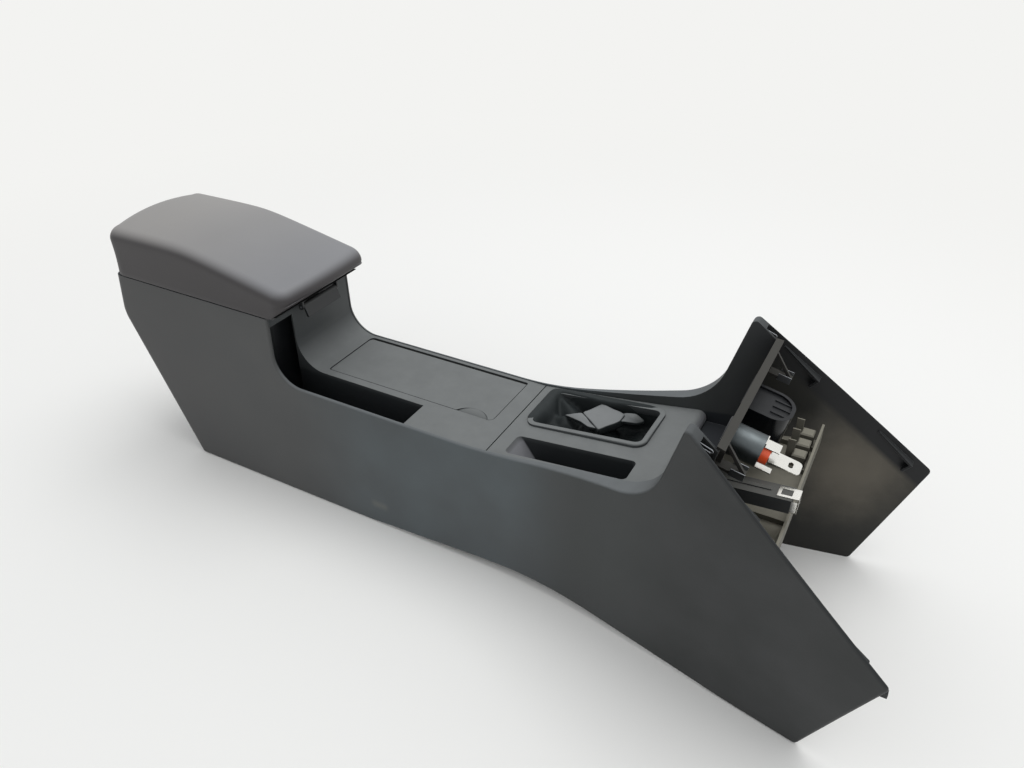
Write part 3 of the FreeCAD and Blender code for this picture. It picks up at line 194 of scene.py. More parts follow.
# Matt white floor paint: an even pale ground that keeps the object's soft shadow.
def makeFloor():
    floorColour = toLinear(studioLook["floorHex"])
    material, tree, shader, coords = newMaterial(
        "matt white floor paint", {"Base Color": floorColour, "Roughness": studioLook["floorRoughness"]})
    away = addNode(tree, "VectorMath", {"operation": "LENGTH", 0: coords.outputs["Object"]})
    far = addNode(tree, "MapRange",
                  {"interpolation_type": "SMOOTHSTEP", "Value": away,
                   "From Min": studioLook["fadeFrom"], "From Max": studioLook["fadeTo"]})
    plain = addNode(tree, "Math", {"operation": "MULTIPLY", 0: far, 1: shownRays(tree)})
    shown = addNode(tree, "Emission", {"Color": floorColour})
    mixed = addNode(tree, "MixShader", {0: plain, 1: shader, 2: shown})
    tree.links.new(mixed.outputs["Shader"], tree.nodes["Material Output"].inputs["Surface"])
    half = studioLook["floorHalf"]
    corners = [(-half, -half, 0), (half, -half, 0), (half, half, 0), (-half, half, 0)]
    mesh = bpy.data.meshes.new("floor")
    mesh.from_pydata(corners, [], [(0, 1, 2, 3)])
    mesh.materials.append(material)
    floor = bpy.data.objects.new("floor", mesh)
    bpy.context.scene.collection.objects.link(floor)


def makeStudio():
    scene = bpy.context.scene
    scene.view_settings.view_transform = "Standard"
    makeFloor()
    world = bpy.data.worlds.new("studioWorld")
    world.use_nodes = True
    scene.world = world
    sky = world.node_tree
    strength = addNode(sky, "MapRange",
                       {"Value": shownRays(sky),
                        "To Min": studioLook["worldFill"], "To Max": studioLook["worldShown"]})
    background = sky.nodes["Background"]
    background.inputs["Color"].default_value = toLinear(studioLook["worldHex"])
    sky.links.new(strength.outputs["Result"], background.inputs["Strength"])

    data = bpy.data.lights.new("overheadSoftbox", "AREA")
    data.energy = studioLook["boxWatts"]
    data.size = studioLook["boxSize"]
    softbox = bpy.data.objects.new("overheadSoftbox", data)
    softbox.location = studioLook["boxPlace"]
    aim = Vector(studioLook["boxAim"]) - Vector(studioLook["boxPlace"])
    softbox.rotation_euler = aim.to_track_quat("-Z", "Y").to_euler()
    scene.collection.objects.link(softbox)
    print("camera, floor and softbox set")


# moulded plastics: a tool's grain is about 0.5 mm, and each grainMm is coarser so that it shows.
# On the smooth ones it is the faint unevenness of the tool's polish.

# Polypropylene, injection moulded in a fine leather-grained tool: dull dark slate with a soft broad sheen,
# painted lighter along the middle and painted shade towards the wings, dust with painted light on the rim,
# and pale lines along the edges, partly rubbed wear and partly painted highlight.
bodyLook = {
    "name": "grained slate polypropylene",
    "baseHex": "#454545", "driftHex": "#414243", "driftMm": 90.0,
    # painted light and shade along the console, in millimetres: each colour is reached by its second place
    "paintedLightAlongHex": ((-430, -250, "#4b4c4c"), (-230, -60, "#50575a"),
                 (90, 190, "#3a3d3d"), (220, 330, "#2c2e2e")),
    "dustAndLightHex": "#6a6e70", "dustAndLightAmount": 0.9, "dustMm": 22.0,
    "roughness": 0.55, "ior": 1.49, "specular": 0.35,
    "grainMm": 1.8, "grainDepthMm": 0.10,
    "edgeMm": 0.8, "edgeWearLightHex": "#7d8183", "edgeWearLightAmount": 0.45,
    # ahead of the dash plate, what faces up has no dust and turns near black: from the first place to the
    # second
    "frontMm": (285.0, 320.0), "frontHex": "#1d1f20", "frontAmount": 0.95, "frontFacing": (0.15, 0.5),
    # what looks inwards: grey in the slot, painted shade under the panels, and a road film inside the wings
    "inwardMm": (-4.0, -30.0),  # distance from the middle plane, times how far the face looks outwards
    "slotHex": "#45484d", "slotToMm": (60.0, 200.0), "paintedShadeHex": "#202327",
    "filmHex": "#242421", "cloudHex": "#645f55", "cloudMm": (425.0, 140.0, 128.0), "cloudReachMm": 105.0,
    "blotchMm": 28.0, "blotchDetail": 6.0, "blotchReachMm": 50.0,  # the film's ragged edge
    "bandHex": "#17181a", "bandMm": 24.0, "bandSoft": 0.15,  # along the wings' front edge, from tip to corner
    "tipMm": (295.0, 310.0), "cornerMm": (505.0, 142.0),
    # flat faces in the seams, given painted shade: this far under the panels, or behind and above these under
    # the lid
    "ledgeMm": 1.2, "binMm": (-215.0, 240.0), "levelFacing": 0.97,
}

# scratches and smudges on the near side, and painted light along a fold of the near wing:
# both ends, half width, colour and strength
bodyMarks = {
    "long scratch": ((-188, -81, 48), (-193.5, -82, 13), 0.7, "#8b8f90", 0.7),
    "short scratch": ((-314, -82, 12), (-314, -82, 6), 0.8, "#8b8f90", 0.6),
    "dusty smudge": ((-95, -82, 31), (-81, -82, 31), 9.0, "#6a6a66", 0.5),
    "painted light on a wing fold": ((315, -105, 176), (432, -125, 95), 16.0, "#4b4e4e", 0.6),
}

# The same polypropylene on the top panels, with a finer grain under a film of dust:
# paler on top from the dust and painted light, and matt.
panelLook = {
    "name": "dusty grained panel polypropylene",
    "baseHex": "#3c3f40", "driftHex": "#444748", "driftMm": 55.0,
    "dustAndLightHex": "#727575", "dustAndLightAmount": 1.0, "dustMm": 26.0,
    "roughness": 0.55, "ior": 1.49, "specular": 0.4,
    "grainMm": 1.5, "grainDepthMm": 0.08,
    "edgeMm": 0.6, "edgeWearLightHex": "#8b8f90", "edgeWearLightAmount": 0.45,
    "deepShadeHex": "#26292b", "deepMm": (-0.5, -6.0),  # painted shade in pockets and seams below the top face
    "rampLightHex": "#8a8b8f", "rampAmount": 0.8, "rampFacing": (0.2, 0.45),  # painted light on the tray's rear slope
}

# Ungrained black polypropylene of the tubs and inserts: smooth, near black, slightly glossy from the tool.
innerLook = {
    "name": "smooth black tub polypropylene",
    "baseHex": "#17191b", "driftHex": "#202224", "driftMm": 40.0,
    "dustAndLightHex": "#3c3c3a", "dustAndLightAmount": 0.5, "dustMm": 9.0,
    "roughness": 0.42, "ior": 1.49, "specular": 0.5,
    "grainMm": 2.5, "grainDepthMm": 0.04,
    "edgeMm": 0.5, "edgeWearLightHex": "#4d5052", "edgeWearLightAmount": 0.4,
}

# Unpainted polypropylene of the dash plate: a grey film of dust on its front, which nobody wipes.
plateLook = {
    "name": "filmed dash plate polypropylene",
    "baseHex": "#252422", "driftHex": "#302f2c", "driftMm": 30.0,
    "dustAndLightHex": "#403f3b", "dustAndLightAmount": 0.8, "dustMm": 8.0,
    "roughness": 0.6, "ior": 1.49, "specular": 0.4,
    "grainMm": 1.6, "grainDepthMm": 0.06,
    "edgeMm": 0.6, "edgeWearLightHex": "#5e5b55", "edgeWearLightAmount": 0.5,
}

# Black ABS of the connector housing: polished tool, so it shows clear soft highlights under a little dust.
housingLook = {
    "name": "gloss black housing ABS",
    "baseHex": "#0b0d10", "driftHex": "#121519", "driftMm": 18.0,
    "dustAndLightHex": "#303336", "dustAndLightAmount": 0.12, "dustMm": 7.0,
    "roughness": 0.24, "ior": 1.54, "specular": 0.25,
    "grainMm": 4.0, "grainDepthMm": 0.02,
    "edgeMm": 0.5, "edgeWearLightHex": "#4a4d50", "edgeWearLightAmount": 0.35,
}

# Dark grey nylon of the lamp holder: dull, with pale ribs, partly rubbed wear and partly painted highlight.
holderLook = {
    "name": "dull grey lamp holder nylon",
    "baseHex": "#323435", "driftHex": "#3d3f3f", "driftMm": 8.0,
    "dustAndLightHex": "#5d5d58", "dustAndLightAmount": 0.6, "dustMm": 4.0,
    "roughness": 0.5, "ior": 1.53, "specular": 0.5,
    "grainMm": 1.5, "grainDepthMm": 0.04,
    "edgeMm": 0.4, "edgeWearLightHex": "#a3a39e", "edgeWearLightAmount": 0.6,
}

# Talc filled polypropylene of the hidden bracket: never cleaned, so road dust makes it a warm beige grey.
bracketLook = {
    "name": "dusty filled bracket polypropylene",
    "baseHex": "#65635a", "driftHex": "#757268", "driftMm": 14.0,
    "dustAndLightHex": "#8f8c80", "dustAndLightAmount": 0.85, "dustMm": 6.0,
    "roughness": 0.7, "ior": 1.49, "specular": 0.4,
    "grainMm": 1.6, "grainDepthMm": 0.08,
    "edgeMm": 0.5, "edgeWearLightHex": "#b3afa2", "edgeWearLightAmount": 0.5,
}

# Red-orange phenolic of the socket's insulator: hard, smooth, a clean saturated colour,
# paler on top with painted light.
insulatorLook = {
    "name": "red orange insulator phenolic",
    "baseHex": "#fb5f31", "driftHex": "#f2542b", "driftMm": 6.0,
    "dustAndLightHex": "#ff8058", "dustAndLightAmount": 0.3, "dustMm": 3.0,
    "roughness": 0.38, "ior": 1.6, "specular": 0.5,
    "grainMm": 1.2, "grainDepthMm": 0.02,
    "edgeMm": 0.4, "edgeWearLightHex": "#f59a78", "edgeWearLightAmount": 0.4,
}

# what all the moulded plastics share
mouldLook = {
    "driftSpan": (0.35, 0.7), "driftMost": 0.5,
    "dustAndLightFacing": (0.25, 0.9),  # how far up a face looks, from no dust and painted light to all of it
    "speckDetail": 8.0, "speckRoughness": 0.62, "speckSpan": (0.3, 0.7), "speckLeast": 0.78,
    "edgeAgree": (0.99, 0.8),  # cosine of the rounded normal to the flat one, from a plain face to a rubbed and highlighted edge
    "cleanGloss": 0.05, "dustyDull": 0.25,  # off the roughness where clean, on to it under dust
    "grainBump": 0.5,
}


def mouldedPlastic(look, paint=None):
    material, tree, shader, coords = newMaterial(
        look["name"], {"IOR": look["ior"], "Specular IOR Level": look["specular"]})
    place = coords.outputs["Object"]
    placeParts = addNode(tree, "SeparateXYZ", {"Vector": place})
    normalParts = addNode(tree, "SeparateXYZ", {"Vector": coords.outputs["Normal"]})

    # painted light and shade along the moulding, and the colour's slow drift
    colour = toLinear(look["baseHex"])
    for start, end, hexColour in look.get("paintedLightAlongHex", ()):
        along = addNode(tree, "MapRange",
                        {"interpolation_type": "SMOOTHSTEP", "Value": placeParts.outputs["X"],
                         "From Min": start * mm, "From Max": end * mm})
        colour = addNode(tree, "Mix",
                         {"data_type": "RGBA", "Factor": along, "A": colour, "B": toLinear(hexColour)})
    cloud = addNode(tree, "TexNoise",
                    {"Vector": place, "Scale": patternScale(look["driftMm"]), "Detail": driftDetail})
    low, high = mouldLook["driftSpan"]
    drift = addNode(tree, "MapRange",
                    {"Value": cloud, "From Min": low, "From Max": high, "To Max": mouldLook["driftMost"]})
    colour = addNode(tree, "Mix",
                     {"data_type": "RGBA", "Factor": drift, "A": colour, "B": toLinear(look["driftHex"])})

    # dust on what faces up, with painted light on the tops
    low, high = mouldLook["dustAndLightFacing"]
    upward = addNode(tree, "MapRange",
                     {"Value": normalParts.outputs["Z"], "From Min": low, "From Max": high})
    speck = addNode(tree, "TexNoise",
                    {"Vector": place, "Scale": patternScale(look["dustMm"]),
                     "Detail": mouldLook["speckDetail"], "Roughness": mouldLook["speckRoughness"]})
    low, high = mouldLook["speckSpan"]
    speckle = addNode(tree, "MapRange",
                      {"Value": speck, "From Min": low, "From Max": high, "To Min": mouldLook["speckLeast"]})
    dustAndLight = addNode(tree, "Math", {"operation": "MULTIPLY", 0: upward, 1: speckle})
    amount = addNode(tree, "Math", {"operation": "MULTIPLY", 0: dustAndLight, 1: look["dustAndLightAmount"]})
    colour = addNode(tree, "Mix",
                     {"data_type": "RGBA", "Factor": amount, "A": colour, "B": toLinear(look["dustAndLightHex"])})
    if paint:
        colour = paint(look, tree, place, placeParts, normalParts, colour)

    # rubbed edges with a painted highlight: where the rounded normal leaves the flat one
    rounded = addNode(tree, "Bevel", {"Radius": look["edgeMm"] * mm})
    flat = addNode(tree, "NewGeometry")
    agree = addNode(tree, "VectorMath",
                    {"operation": "DOT_PRODUCT", 0: rounded, 1: flat.outputs["Normal"]})
    low, high = mouldLook["edgeAgree"]
    edge = addNode(tree, "MapRange",
                   {"Value": agree, "From Min": low, "From Max": high, "To Max": look["edgeWearLightAmount"]})
    wornAndLitEdge = addNode(tree, "Mix",
                     {"data_type": "RGBA", "Factor": edge, "A": colour, "B": toLinear(look["edgeWearLightHex"])})
    tree.links.new(wornAndLitEdge.outputs["Result"], shader.inputs["Base Color"])

    # dust dulls the sheen, and the tool's grain breaks it up
    dull = addNode(tree, "MapRange",
                   {"Value": dustAndLight, "To Min": look["roughness"] - mouldLook["cleanGloss"],
                    "To Max": look["roughness"] + mouldLook["dustyDull"]})
    tree.links.new(dull.outputs["Result"], shader.inputs["Roughness"])
    grain = addNode(tree, "TexVoronoi",
                    {"feature": "SMOOTH_F1", "Vector": place, "Scale": patternScale(look["grainMm"])})
    bump = addNode(tree, "Bump",
                   {"Height": grain, "Normal": rounded,
                    "Strength": mouldLook["grainBump"], "Distance": look["grainDepthMm"] * mm})
    tree.links.new(bump.outputs["Normal"], shader.inputs["Normal"])
    return material


def paintMarks(tree, place, colour):  # each mark lies round its own line
    for first, second, half, hexColour, strength in bodyMarks.values():
        start = Vector(first) * mm
        run = Vector(second) * mm - start
        offset = addNode(tree, "VectorMath", {"operation": "SUBTRACT", 0: place, 1: start})
        along = addNode(tree, "VectorMath",
                        {"operation": "DOT_PRODUCT", 0: offset, 1: run / run.length_squared})
        share = addNode(tree, "Clamp", {"Value": along})
        foot = addNode(tree, "VectorMath", {"operation": "SCALE", 0: run, "Scale": share})
        gap = addNode(tree, "VectorMath", {"operation": "DISTANCE", 0: offset, 1: foot})
        mark = addNode(tree, "MapRange",
                       {"interpolation_type": "SMOOTHSTEP", "Value": gap,
                        "From Min": half * mm, "From Max": 0.0, "To Max": strength})
        colour = addNode(tree, "Mix",
                         {"data_type": "RGBA", "Factor": mark, "A": colour, "B": toLinear(hexColour)})
    return colour


def wingFilm(look, tree, place, placeParts):  # thickest in the wings' middle, and dark along their front edge
    aside = addNode(tree, "Math", {"operation": "ABSOLUTE", 0: placeParts.outputs["Y"]})
    mirrored = addNode(tree, "CombineXYZ",
                       {"X": placeParts.outputs["X"], "Y": aside, "Z": placeParts.outputs["Z"]})
    away = addNode(tree, "VectorMath",
                   {"operation": "DISTANCE", 0: mirrored, 1: Vector(look["cloudMm"]) * mm})
    blotch = addNode(tree, "TexNoise",
                     {"Vector": place, "Scale": patternScale(look["blotchMm"]), "Detail": look["blotchDetail"]})
    reachMm = look["blotchReachMm"]
    ragged = addNode(tree, "Math",
                     {"operation": "MULTIPLY_ADD", 0: blotch, 1: reachMm * mm, 2: -reachMm / 2 * mm})
    reach = addNode(tree, "Math", {"operation": "ADD", 0: away, 1: ragged})
    cloud = addNode(tree, "MapRange",
                    {"interpolation_type": "SMOOTHSTEP", "Value": reach,
                     "From Min": look["cloudReachMm"] * mm, "From Max": 0.0})
    film = addNode(tree, "Mix",
                   {"data_type": "RGBA", "Factor": cloud,
                    "A": toLinear(look["filmHex"]), "B": toLinear(look["cloudHex"])})
    edge = Vector(look["cornerMm"]) - Vector(look["tipMm"])
    inwards = Vector((edge.y, 0.0, -edge.x)).normalized()
    tip = Vector((look["tipMm"][0], 0.0, look["tipMm"][1])) * mm
    fromTip = addNode(tree, "VectorMath", {"operation": "SUBTRACT", 0: place, 1: tip})
    deep = addNode(tree, "VectorMath", {"operation": "DOT_PRODUCT", 0: fromTip, 1: inwards})
    band = addNode(tree, "MapRange",
                   {"Value": deep, "From Min": look["bandMm"] * (1.0 + look["bandSoft"]) * mm,
                    "From Max": look["bandMm"] * (1.0 - look["bandSoft"]) * mm})
    return addNode(tree, "Mix",
                   {"data_type": "RGBA", "Factor": band, "A": film, "B": toLinear(look["bandHex"])})


def seamSeats(look, tree, placeParts, normalParts, height):  # 1 on the flat seats of the panels and the lid
    alongX, upZ = placeParts.outputs["X"], placeParts.outputs["Z"]
    below = addNode(tree, "Math", {"operation": "LESS_THAN", 0: height, 1: -look["ledgeMm"] * mm})
    behind = addNode(tree, "Math",
                     {"operation": "LESS_THAN", 0: alongX, 1: look["frontMm"][1] * mm})
    panelSeat = addNode(tree, "Math", {"operation": "MULTIPLY", 0: below, 1: behind})
    binRear = addNode(tree, "Math", {"operation": "LESS_THAN", 0: alongX, 1: look["binMm"][0] * mm})
    binHigh = addNode(tree, "Math", {"operation": "GREATER_THAN", 0: upZ, 1: look["binMm"][1] * mm})
    lidSeat = addNode(tree, "Math", {"operation": "MULTIPLY", 0: binRear, 1: binHigh})
    either = addNode(tree, "Math", {"operation": "MAXIMUM", 0: panelSeat, 1: lidSeat})
    level = addNode(tree, "Math",
                    {"operation": "GREATER_THAN", 0: normalParts.outputs["Z"], 1: look["levelFacing"]})
    return addNode(tree, "Math", {"operation": "MULTIPLY", 0: either, 1: level})


def paintBody(look, tree, place, placeParts, normalParts, colour):
    colour = paintMarks(tree, place, colour)

    # what faces up ahead of the dash plate has no dust and turns near black
    start, end = look["frontMm"]
    forward = addNode(tree, "MapRange",
                      {"Value": placeParts.outputs["X"], "From Min": start * mm, "From Max": end * mm})
    low, high = look["frontFacing"]
    rising = addNode(tree, "MapRange",
                     {"Value": normalParts.outputs["Z"], "From Min": low, "From Max": high,
                      "To Max": look["frontAmount"]})
    clean = addNode(tree, "Math", {"operation": "MULTIPLY", 0: forward, 1: rising})
    colour = addNode(tree, "Mix",
                     {"data_type": "RGBA", "Factor": clean, "A": colour, "B": toLinear(look["frontHex"])})

    # the inner faces, from the slot to the wings: grey in the slot, darkening to painted shade under the panels
    start, end = look["slotToMm"]
    pastSlot = addNode(tree, "MapRange",
                       {"Value": placeParts.outputs["X"], "From Min": start * mm, "From Max": end * mm})
    slotToShade = addNode(tree, "Mix",
                    {"data_type": "RGBA", "Factor": pastSlot,
                     "A": toLinear(look["slotHex"]), "B": toLinear(look["paintedShadeHex"])})
    inside = addNode(tree, "Mix",
                     {"data_type": "RGBA", "Factor": forward, "A": slotToShade,
                      "B": wingFilm(look, tree, place, placeParts)})
    height = heightOverPanel(tree, placeParts)
    sunk = addNode(tree, "MapRange",
                   {"Value": height, "From Min": 0.0, "From Max": -2.0 * look["ledgeMm"] * mm})
    hidden = addNode(tree, "Math", {"operation": "MAXIMUM", 0: sunk, 1: forward})
    facing = addNode(tree, "Math",
                     {"operation": "MULTIPLY", 0: placeParts.outputs["Y"], 1: normalParts.outputs["Y"]})
    start, end = look["inwardMm"]
    inward = addNode(tree, "MapRange",
                     {"Value": facing, "From Min": start * mm, "From Max": end * mm})
    innerShadeAndFilm = addNode(tree, "Math", {"operation": "MULTIPLY", 0: inward, 1: hidden})
    withInnerShadeAndFilm = addNode(tree, "Mix", {"data_type": "RGBA", "Factor": innerShadeAndFilm, "A": colour, "B": inside})

    # seats get painted shade, so they show only as a dark line in their seams
    seat = seamSeats(look, tree, placeParts, normalParts, height)
    return addNode(tree, "Mix",
                   {"data_type": "RGBA", "Factor": seat, "A": withInnerShadeAndFilm, "B": toLinear(look["paintedShadeHex"])})


def paintPanel(look, tree, place, placeParts, normalParts, colour):
    # painted shade darkens the pockets with depth, and painted light lifts the slopes that face the front
    start, end = look["deepMm"]
    deep = addNode(tree, "MapRange",
                   {"Value": heightOverPanel(tree, placeParts), "From Min": start * mm, "From Max": end * mm})
    shaded = addNode(tree, "Mix",
                     {"data_type": "RGBA", "Factor": deep, "A": colour, "B": toLinear(look["deepShadeHex"])})
    low, high = look["rampFacing"]
    ramp = addNode(tree, "MapRange",
                   {"Value": normalParts.outputs["X"], "From Min": low, "From Max": high,
                    "To Max": look["rampAmount"]})
    slope = addNode(tree, "Math", {"operation": "MULTIPLY", 0: deep, 1: ramp})
    return addNode(tree, "Mix",
                   {"data_type": "RGBA", "Factor": slope, "A": shaded, "B": toLinear(look["rampLightHex"])})


# metals

# Zinc plated mild steel: pale cool grey, cloudy from the plating bath.
hingeLook = {"name": "zinc plated hinge steel", "baseHex": "#9b9da0", "driftHex": "#7f8286", "driftMm": 6.0,
             "roughness": 0.38, "drawnMm": None}

# Nickel plated steel barrel of the socket, tarnished: dark satin grey, with fine draw lines along it.
# The lines' length and spacing: real ones are about 0.1 mm apart, drawn coarser so that they show.
socketLook = {"name": "tarnished nickel socket steel", "baseHex": "#656b6c", "driftHex": "#565b5d",
              "driftMm": 9.0, "roughness": 0.4, "drawnMm": (25.0, 1.2)}

# Tinned brass of the terminals: bright white metal, barely oxidised.
terminalLook = {"name": "bright tinned brass", "baseHex": "#ecebe6", "driftHex": "#d6d4cc", "driftMm": 5.0,
                "roughness": 0.22, "drawnMm": None}

# what all the plated metals share
platedLook = {"clearGloss": 0.08, "cloudyDull": 0.14, "edgeMm": 0.3,
              "lineDetail": 2.0, "lineBump": 0.25, "lineDepthMm": 0.03}


def platedMetal(look):
    material, tree, shader, coords = newMaterial(look["name"], {"Metallic": 1.0})
    place = coords.outputs["Object"]
    drift = addNode(tree, "TexNoise",
                    {"Vector": place, "Scale": patternScale(look["driftMm"]), "Detail": driftDetail})
    colour = addNode(tree, "Mix",
                     {"data_type": "RGBA", "Factor": drift,
                      "A": toLinear(look["baseHex"]), "B": toLinear(look["driftHex"])})
    tree.links.new(colour.outputs["Result"], shader.inputs["Base Color"])
    cloudy = addNode(tree, "MapRange",
                     {"Value": drift, "To Min": look["roughness"] - platedLook["clearGloss"],
                      "To Max": look["roughness"] + platedLook["cloudyDull"]})
    tree.links.new(cloudy.outputs["Result"], shader.inputs["Roughness"])
    surface = addNode(tree, "Bevel", {"Radius": platedLook["edgeMm"] * mm})
    if look["drawnMm"]:
        lengthwise, across = [patternScale(size) for size in look["drawnMm"]]
        drawn = addNode(tree, "Mapping", {"Vector": place, "Scale": (lengthwise, across, across)})
        lines = addNode(tree, "TexNoise",
                        {"Vector": drawn, "Scale": 1.0, "Detail": platedLook["lineDetail"]})
        surface = addNode(tree, "Bump",
                          {"Height": lines, "Normal": surface,
                           "Strength": platedLook["lineBump"], "Distance": platedLook["lineDepthMm"] * mm})
    tree.links.new(surface.outputs["Normal"], shader.inputs["Normal"])
    return material


# soft skins: real pebble is about 0.7 mm, and each pebbleMm is coarser so that it shows

# Calendered PVC vinyl over foam: smooth, fine pebble grain, soft sheen,
# paler on top from hands, dust and painted light.
vinylLook = {
    "name": "calendered armrest vinyl",
    "baseHex": "#373435", "driftHex": "#3d3b3c", "driftMm": 70.0,
    "topDustLightHex": "#8f8d8b", "foreDustLightHex": "#828386", "foreMm": (-420.0, -220.0), "topDustLightAmount": 0.97,
    "upFacing": (0.3, 0.97),
    "shadedBelowMm": None,
    "roughness": 0.46, "ior": 1.53, "specular": 0.35,
    "pebbleMm": 1.6, "pebbleDepthMm": 0.05,
}

# Split cowhide of the boot, coated black: fine creased grain, satin,
# greyer on top of its folds from dust and painted light.
leatherLook = {
    "name": "coated black boot leather",
    "baseHex": "#1f2324", "driftHex": "#2a2e2f", "driftMm": 16.0,
    "topDustLightHex": "#7b7e7f", "foreDustLightHex": "#747778", "foreMm": (130.0, 190.0), "topDustLightAmount": 0.9,
    "upFacing": (0.45, 0.97),
    "shadedBelowMm": (-9.0, -1.0),  # below the panel's face by this much it keeps its own black, as painted shade in the valleys
    "roughness": 0.45, "ior": 1.5, "specular": 0.4,
    "pebbleMm": 1.3, "pebbleDepthMm": 0.12,
}

# The same hide where it hangs in the frame: it keeps its black as painted shade down in the frame,
# and only greys at the rim with dust and painted light.
skirtLook = dict(leatherLook, name="coated black skirt leather", baseHex="#131718", driftHex="#1c2122",
                 topDustLightHex="#272c2d", foreDustLightHex="#222728", shadedBelowMm=(-26.0, 0.0), upFacing=(0.2, 0.97),
                 roughness=0.6, specular=0.2)

# what all the soft skins share
skinLook = {"patchySpan": (0.25, 0.75), "patchyLeast": 0.9, "clearGloss": 0.06, "cloudyDull": 0.12,
            "pebbleBump": 0.6}


def softSkin(look):
    material, tree, shader, coords = newMaterial(
        look["name"], {"IOR": look["ior"], "Specular IOR Level": look["specular"]})
    place = coords.outputs["Object"]
    placeParts = addNode(tree, "SeparateXYZ", {"Vector": place})
    normalParts = addNode(tree, "SeparateXYZ", {"Vector": coords.outputs["Normal"]})
    drift = addNode(tree, "TexNoise",
                    {"Vector": place, "Scale": patternScale(look["driftMm"]), "Detail": driftDetail})
    colour = addNode(tree, "Mix",
                     {"data_type": "RGBA", "Factor": drift,
                      "A": toLinear(look["baseHex"]), "B": toLinear(look["driftHex"])})

    # the top's dust and painted light, from its rear colour to its front one
    start, end = look["foreMm"]
    fore = addNode(tree, "MapRange",
                   {"Value": placeParts.outputs["X"], "From Min": start * mm, "From Max": end * mm})
    top = addNode(tree, "Mix",
                  {"data_type": "RGBA", "Factor": fore,
                   "A": toLinear(look["topDustLightHex"]), "B": toLinear(look["foreDustLightHex"])})
    low, high = look["upFacing"]
    upward = addNode(tree, "MapRange",
                     {"interpolation_type": "SMOOTHSTEP", "Value": normalParts.outputs["Z"],
                      "From Min": low, "From Max": high})
    low, high = skinLook["patchySpan"]
    patchy = addNode(tree, "MapRange",
                   {"Value": drift, "From Min": low, "From Max": high,
                    "To Min": skinLook["patchyLeast"] * look["topDustLightAmount"], "To Max": look["topDustLightAmount"]})
    pale = addNode(tree, "Math", {"operation": "MULTIPLY", 0: upward, 1: patchy})
    # painted shade: the pale top fades out below the panel's face
    if look["shadedBelowMm"]:
        start, end = look["shadedBelowMm"]
        raised = addNode(tree, "MapRange",
                         {"Value": heightOverPanel(tree, placeParts),
                          "From Min": start * mm, "From Max": end * mm})
        pale = addNode(tree, "Math", {"operation": "MULTIPLY", 0: pale, 1: raised})
    dustLitTopColour = addNode(tree, "Mix", {"data_type": "RGBA", "Factor": pale, "A": colour, "B": top})
    tree.links.new(dustLitTopColour.outputs["Result"], shader.inputs["Base Color"])
    gloss = addNode(tree, "MapRange",
                    {"Value": drift, "To Min": look["roughness"] - skinLook["clearGloss"],
                     "To Max": look["roughness"] + skinLook["cloudyDull"]})
    tree.links.new(gloss.outputs["Result"], shader.inputs["Roughness"])
    pebble = addNode(tree, "TexVoronoi",
                     {"feature": "F1", "Vector": place, "Scale": patternScale(look["pebbleMm"])})
    bump = addNode(tree, "Bump",
                   {"Height": pebble, "Strength": skinLook["pebbleBump"],
                    "Distance": look["pebbleDepthMm"] * mm})
    tree.links.new(bump.outputs["Normal"], shader.inputs["Normal"])
    return material


# padded armrest: a crowned pad under one tight moulded skin, built in rings from its top down to its hem
padLook = {
    "frontCornerMm": 20.0, "frontArcMm": 340.0,  # plan: round corners, and ends bowed on a wide arc
    "rearCornerMm": 22.0, "rearArcMm": 400.0,
    "sideRoundMm": 13.0, "rearRoundMm": 17.0, "frontRoundMm": 13.5,
    "topInsetMm": 0.3,
    "crownMm": 6.0, "rearCrownMm": 9.0,  # the top's fall from its middle line to its long edges
    "bendAt": 0.47, "bendMm": 30.0, "noseFallMm": 33.0,  # where the top falls, how softly, and how far
    "undercutMm": 32.0, "noseLiftMm": 23.0,  # the nose's underside runs back and down to the hem
    "hemLiftMm": 0.9, "hemMm": 3.0, "hemRoundMm": 1.6, "frameRoomMm": 3.5,  # the hem wraps the lid's plate
    "hingeHalfMm": 53.0, "hingeDeepMm": 12.0, "hingeRampMm": 3.0,
    "pullMm": 0.7, "rakeMm": 5.0,  # the walls draw in a little above the hem, and the rear one leans forward
    "spineRearMm": 75.0, "spineFrontMm": 85.0,
    "endSteps": 26, "cornerSteps": 12, "sideSteps": 60,
    "topSteps": 26, "shoulderSteps": 12, "wallSteps": 9, "hemSteps": 2, "undersideSteps": 8,
    "fill": 0.8,
}


def padEnd(tip, half, corner, wide, toward):  # one bowed end with its two corners, anticlockwise
    middle = tip - toward * wide
    reach = math.sqrt((wide - corner) ** 2 - (half - corner) ** 2)
    turn = math.atan2(half - corner, reach)
    start = 0.0 if toward > 0 else math.pi
    points = []
    for side in (-1, 0, 1):
        steps = padLook["endSteps"] if side == 0 else padLook["cornerSteps"]
        first, last = (-turn, turn) if side == 0 else sorted((side * turn, side * math.pi / 2))
        radius = wide if side == 0 else corner
        centre = Vector((middle, 0.0))
        if side:
            centre = Vector((middle + toward * reach, toward * side * (half - corner)))
        for i in range(steps):
            angle = start + first + (last - first) * i / steps
            points.append(centre + Vector((math.cos(angle), math.sin(angle))) * radius)
    points.append(centre + Vector((math.cos(start + last), math.sin(start + last))) * radius)
    return points


def padOutline(rear, front, half):  # plan of the pad, anticlockwise, in millimetres
    points = []
    ends = [padEnd(front, half, padLook["frontCornerMm"], padLook["frontArcMm"], 1),
            padEnd(rear, half, padLook["rearCornerMm"], padLook["rearArcMm"], -1)]
    for here, there in (ends, ends[::-1]):
        points += here
        points += [here[-1].lerp(there[0], i / padLook["sideSteps"]) for i in range(1, padLook["sideSteps"])]
    return points


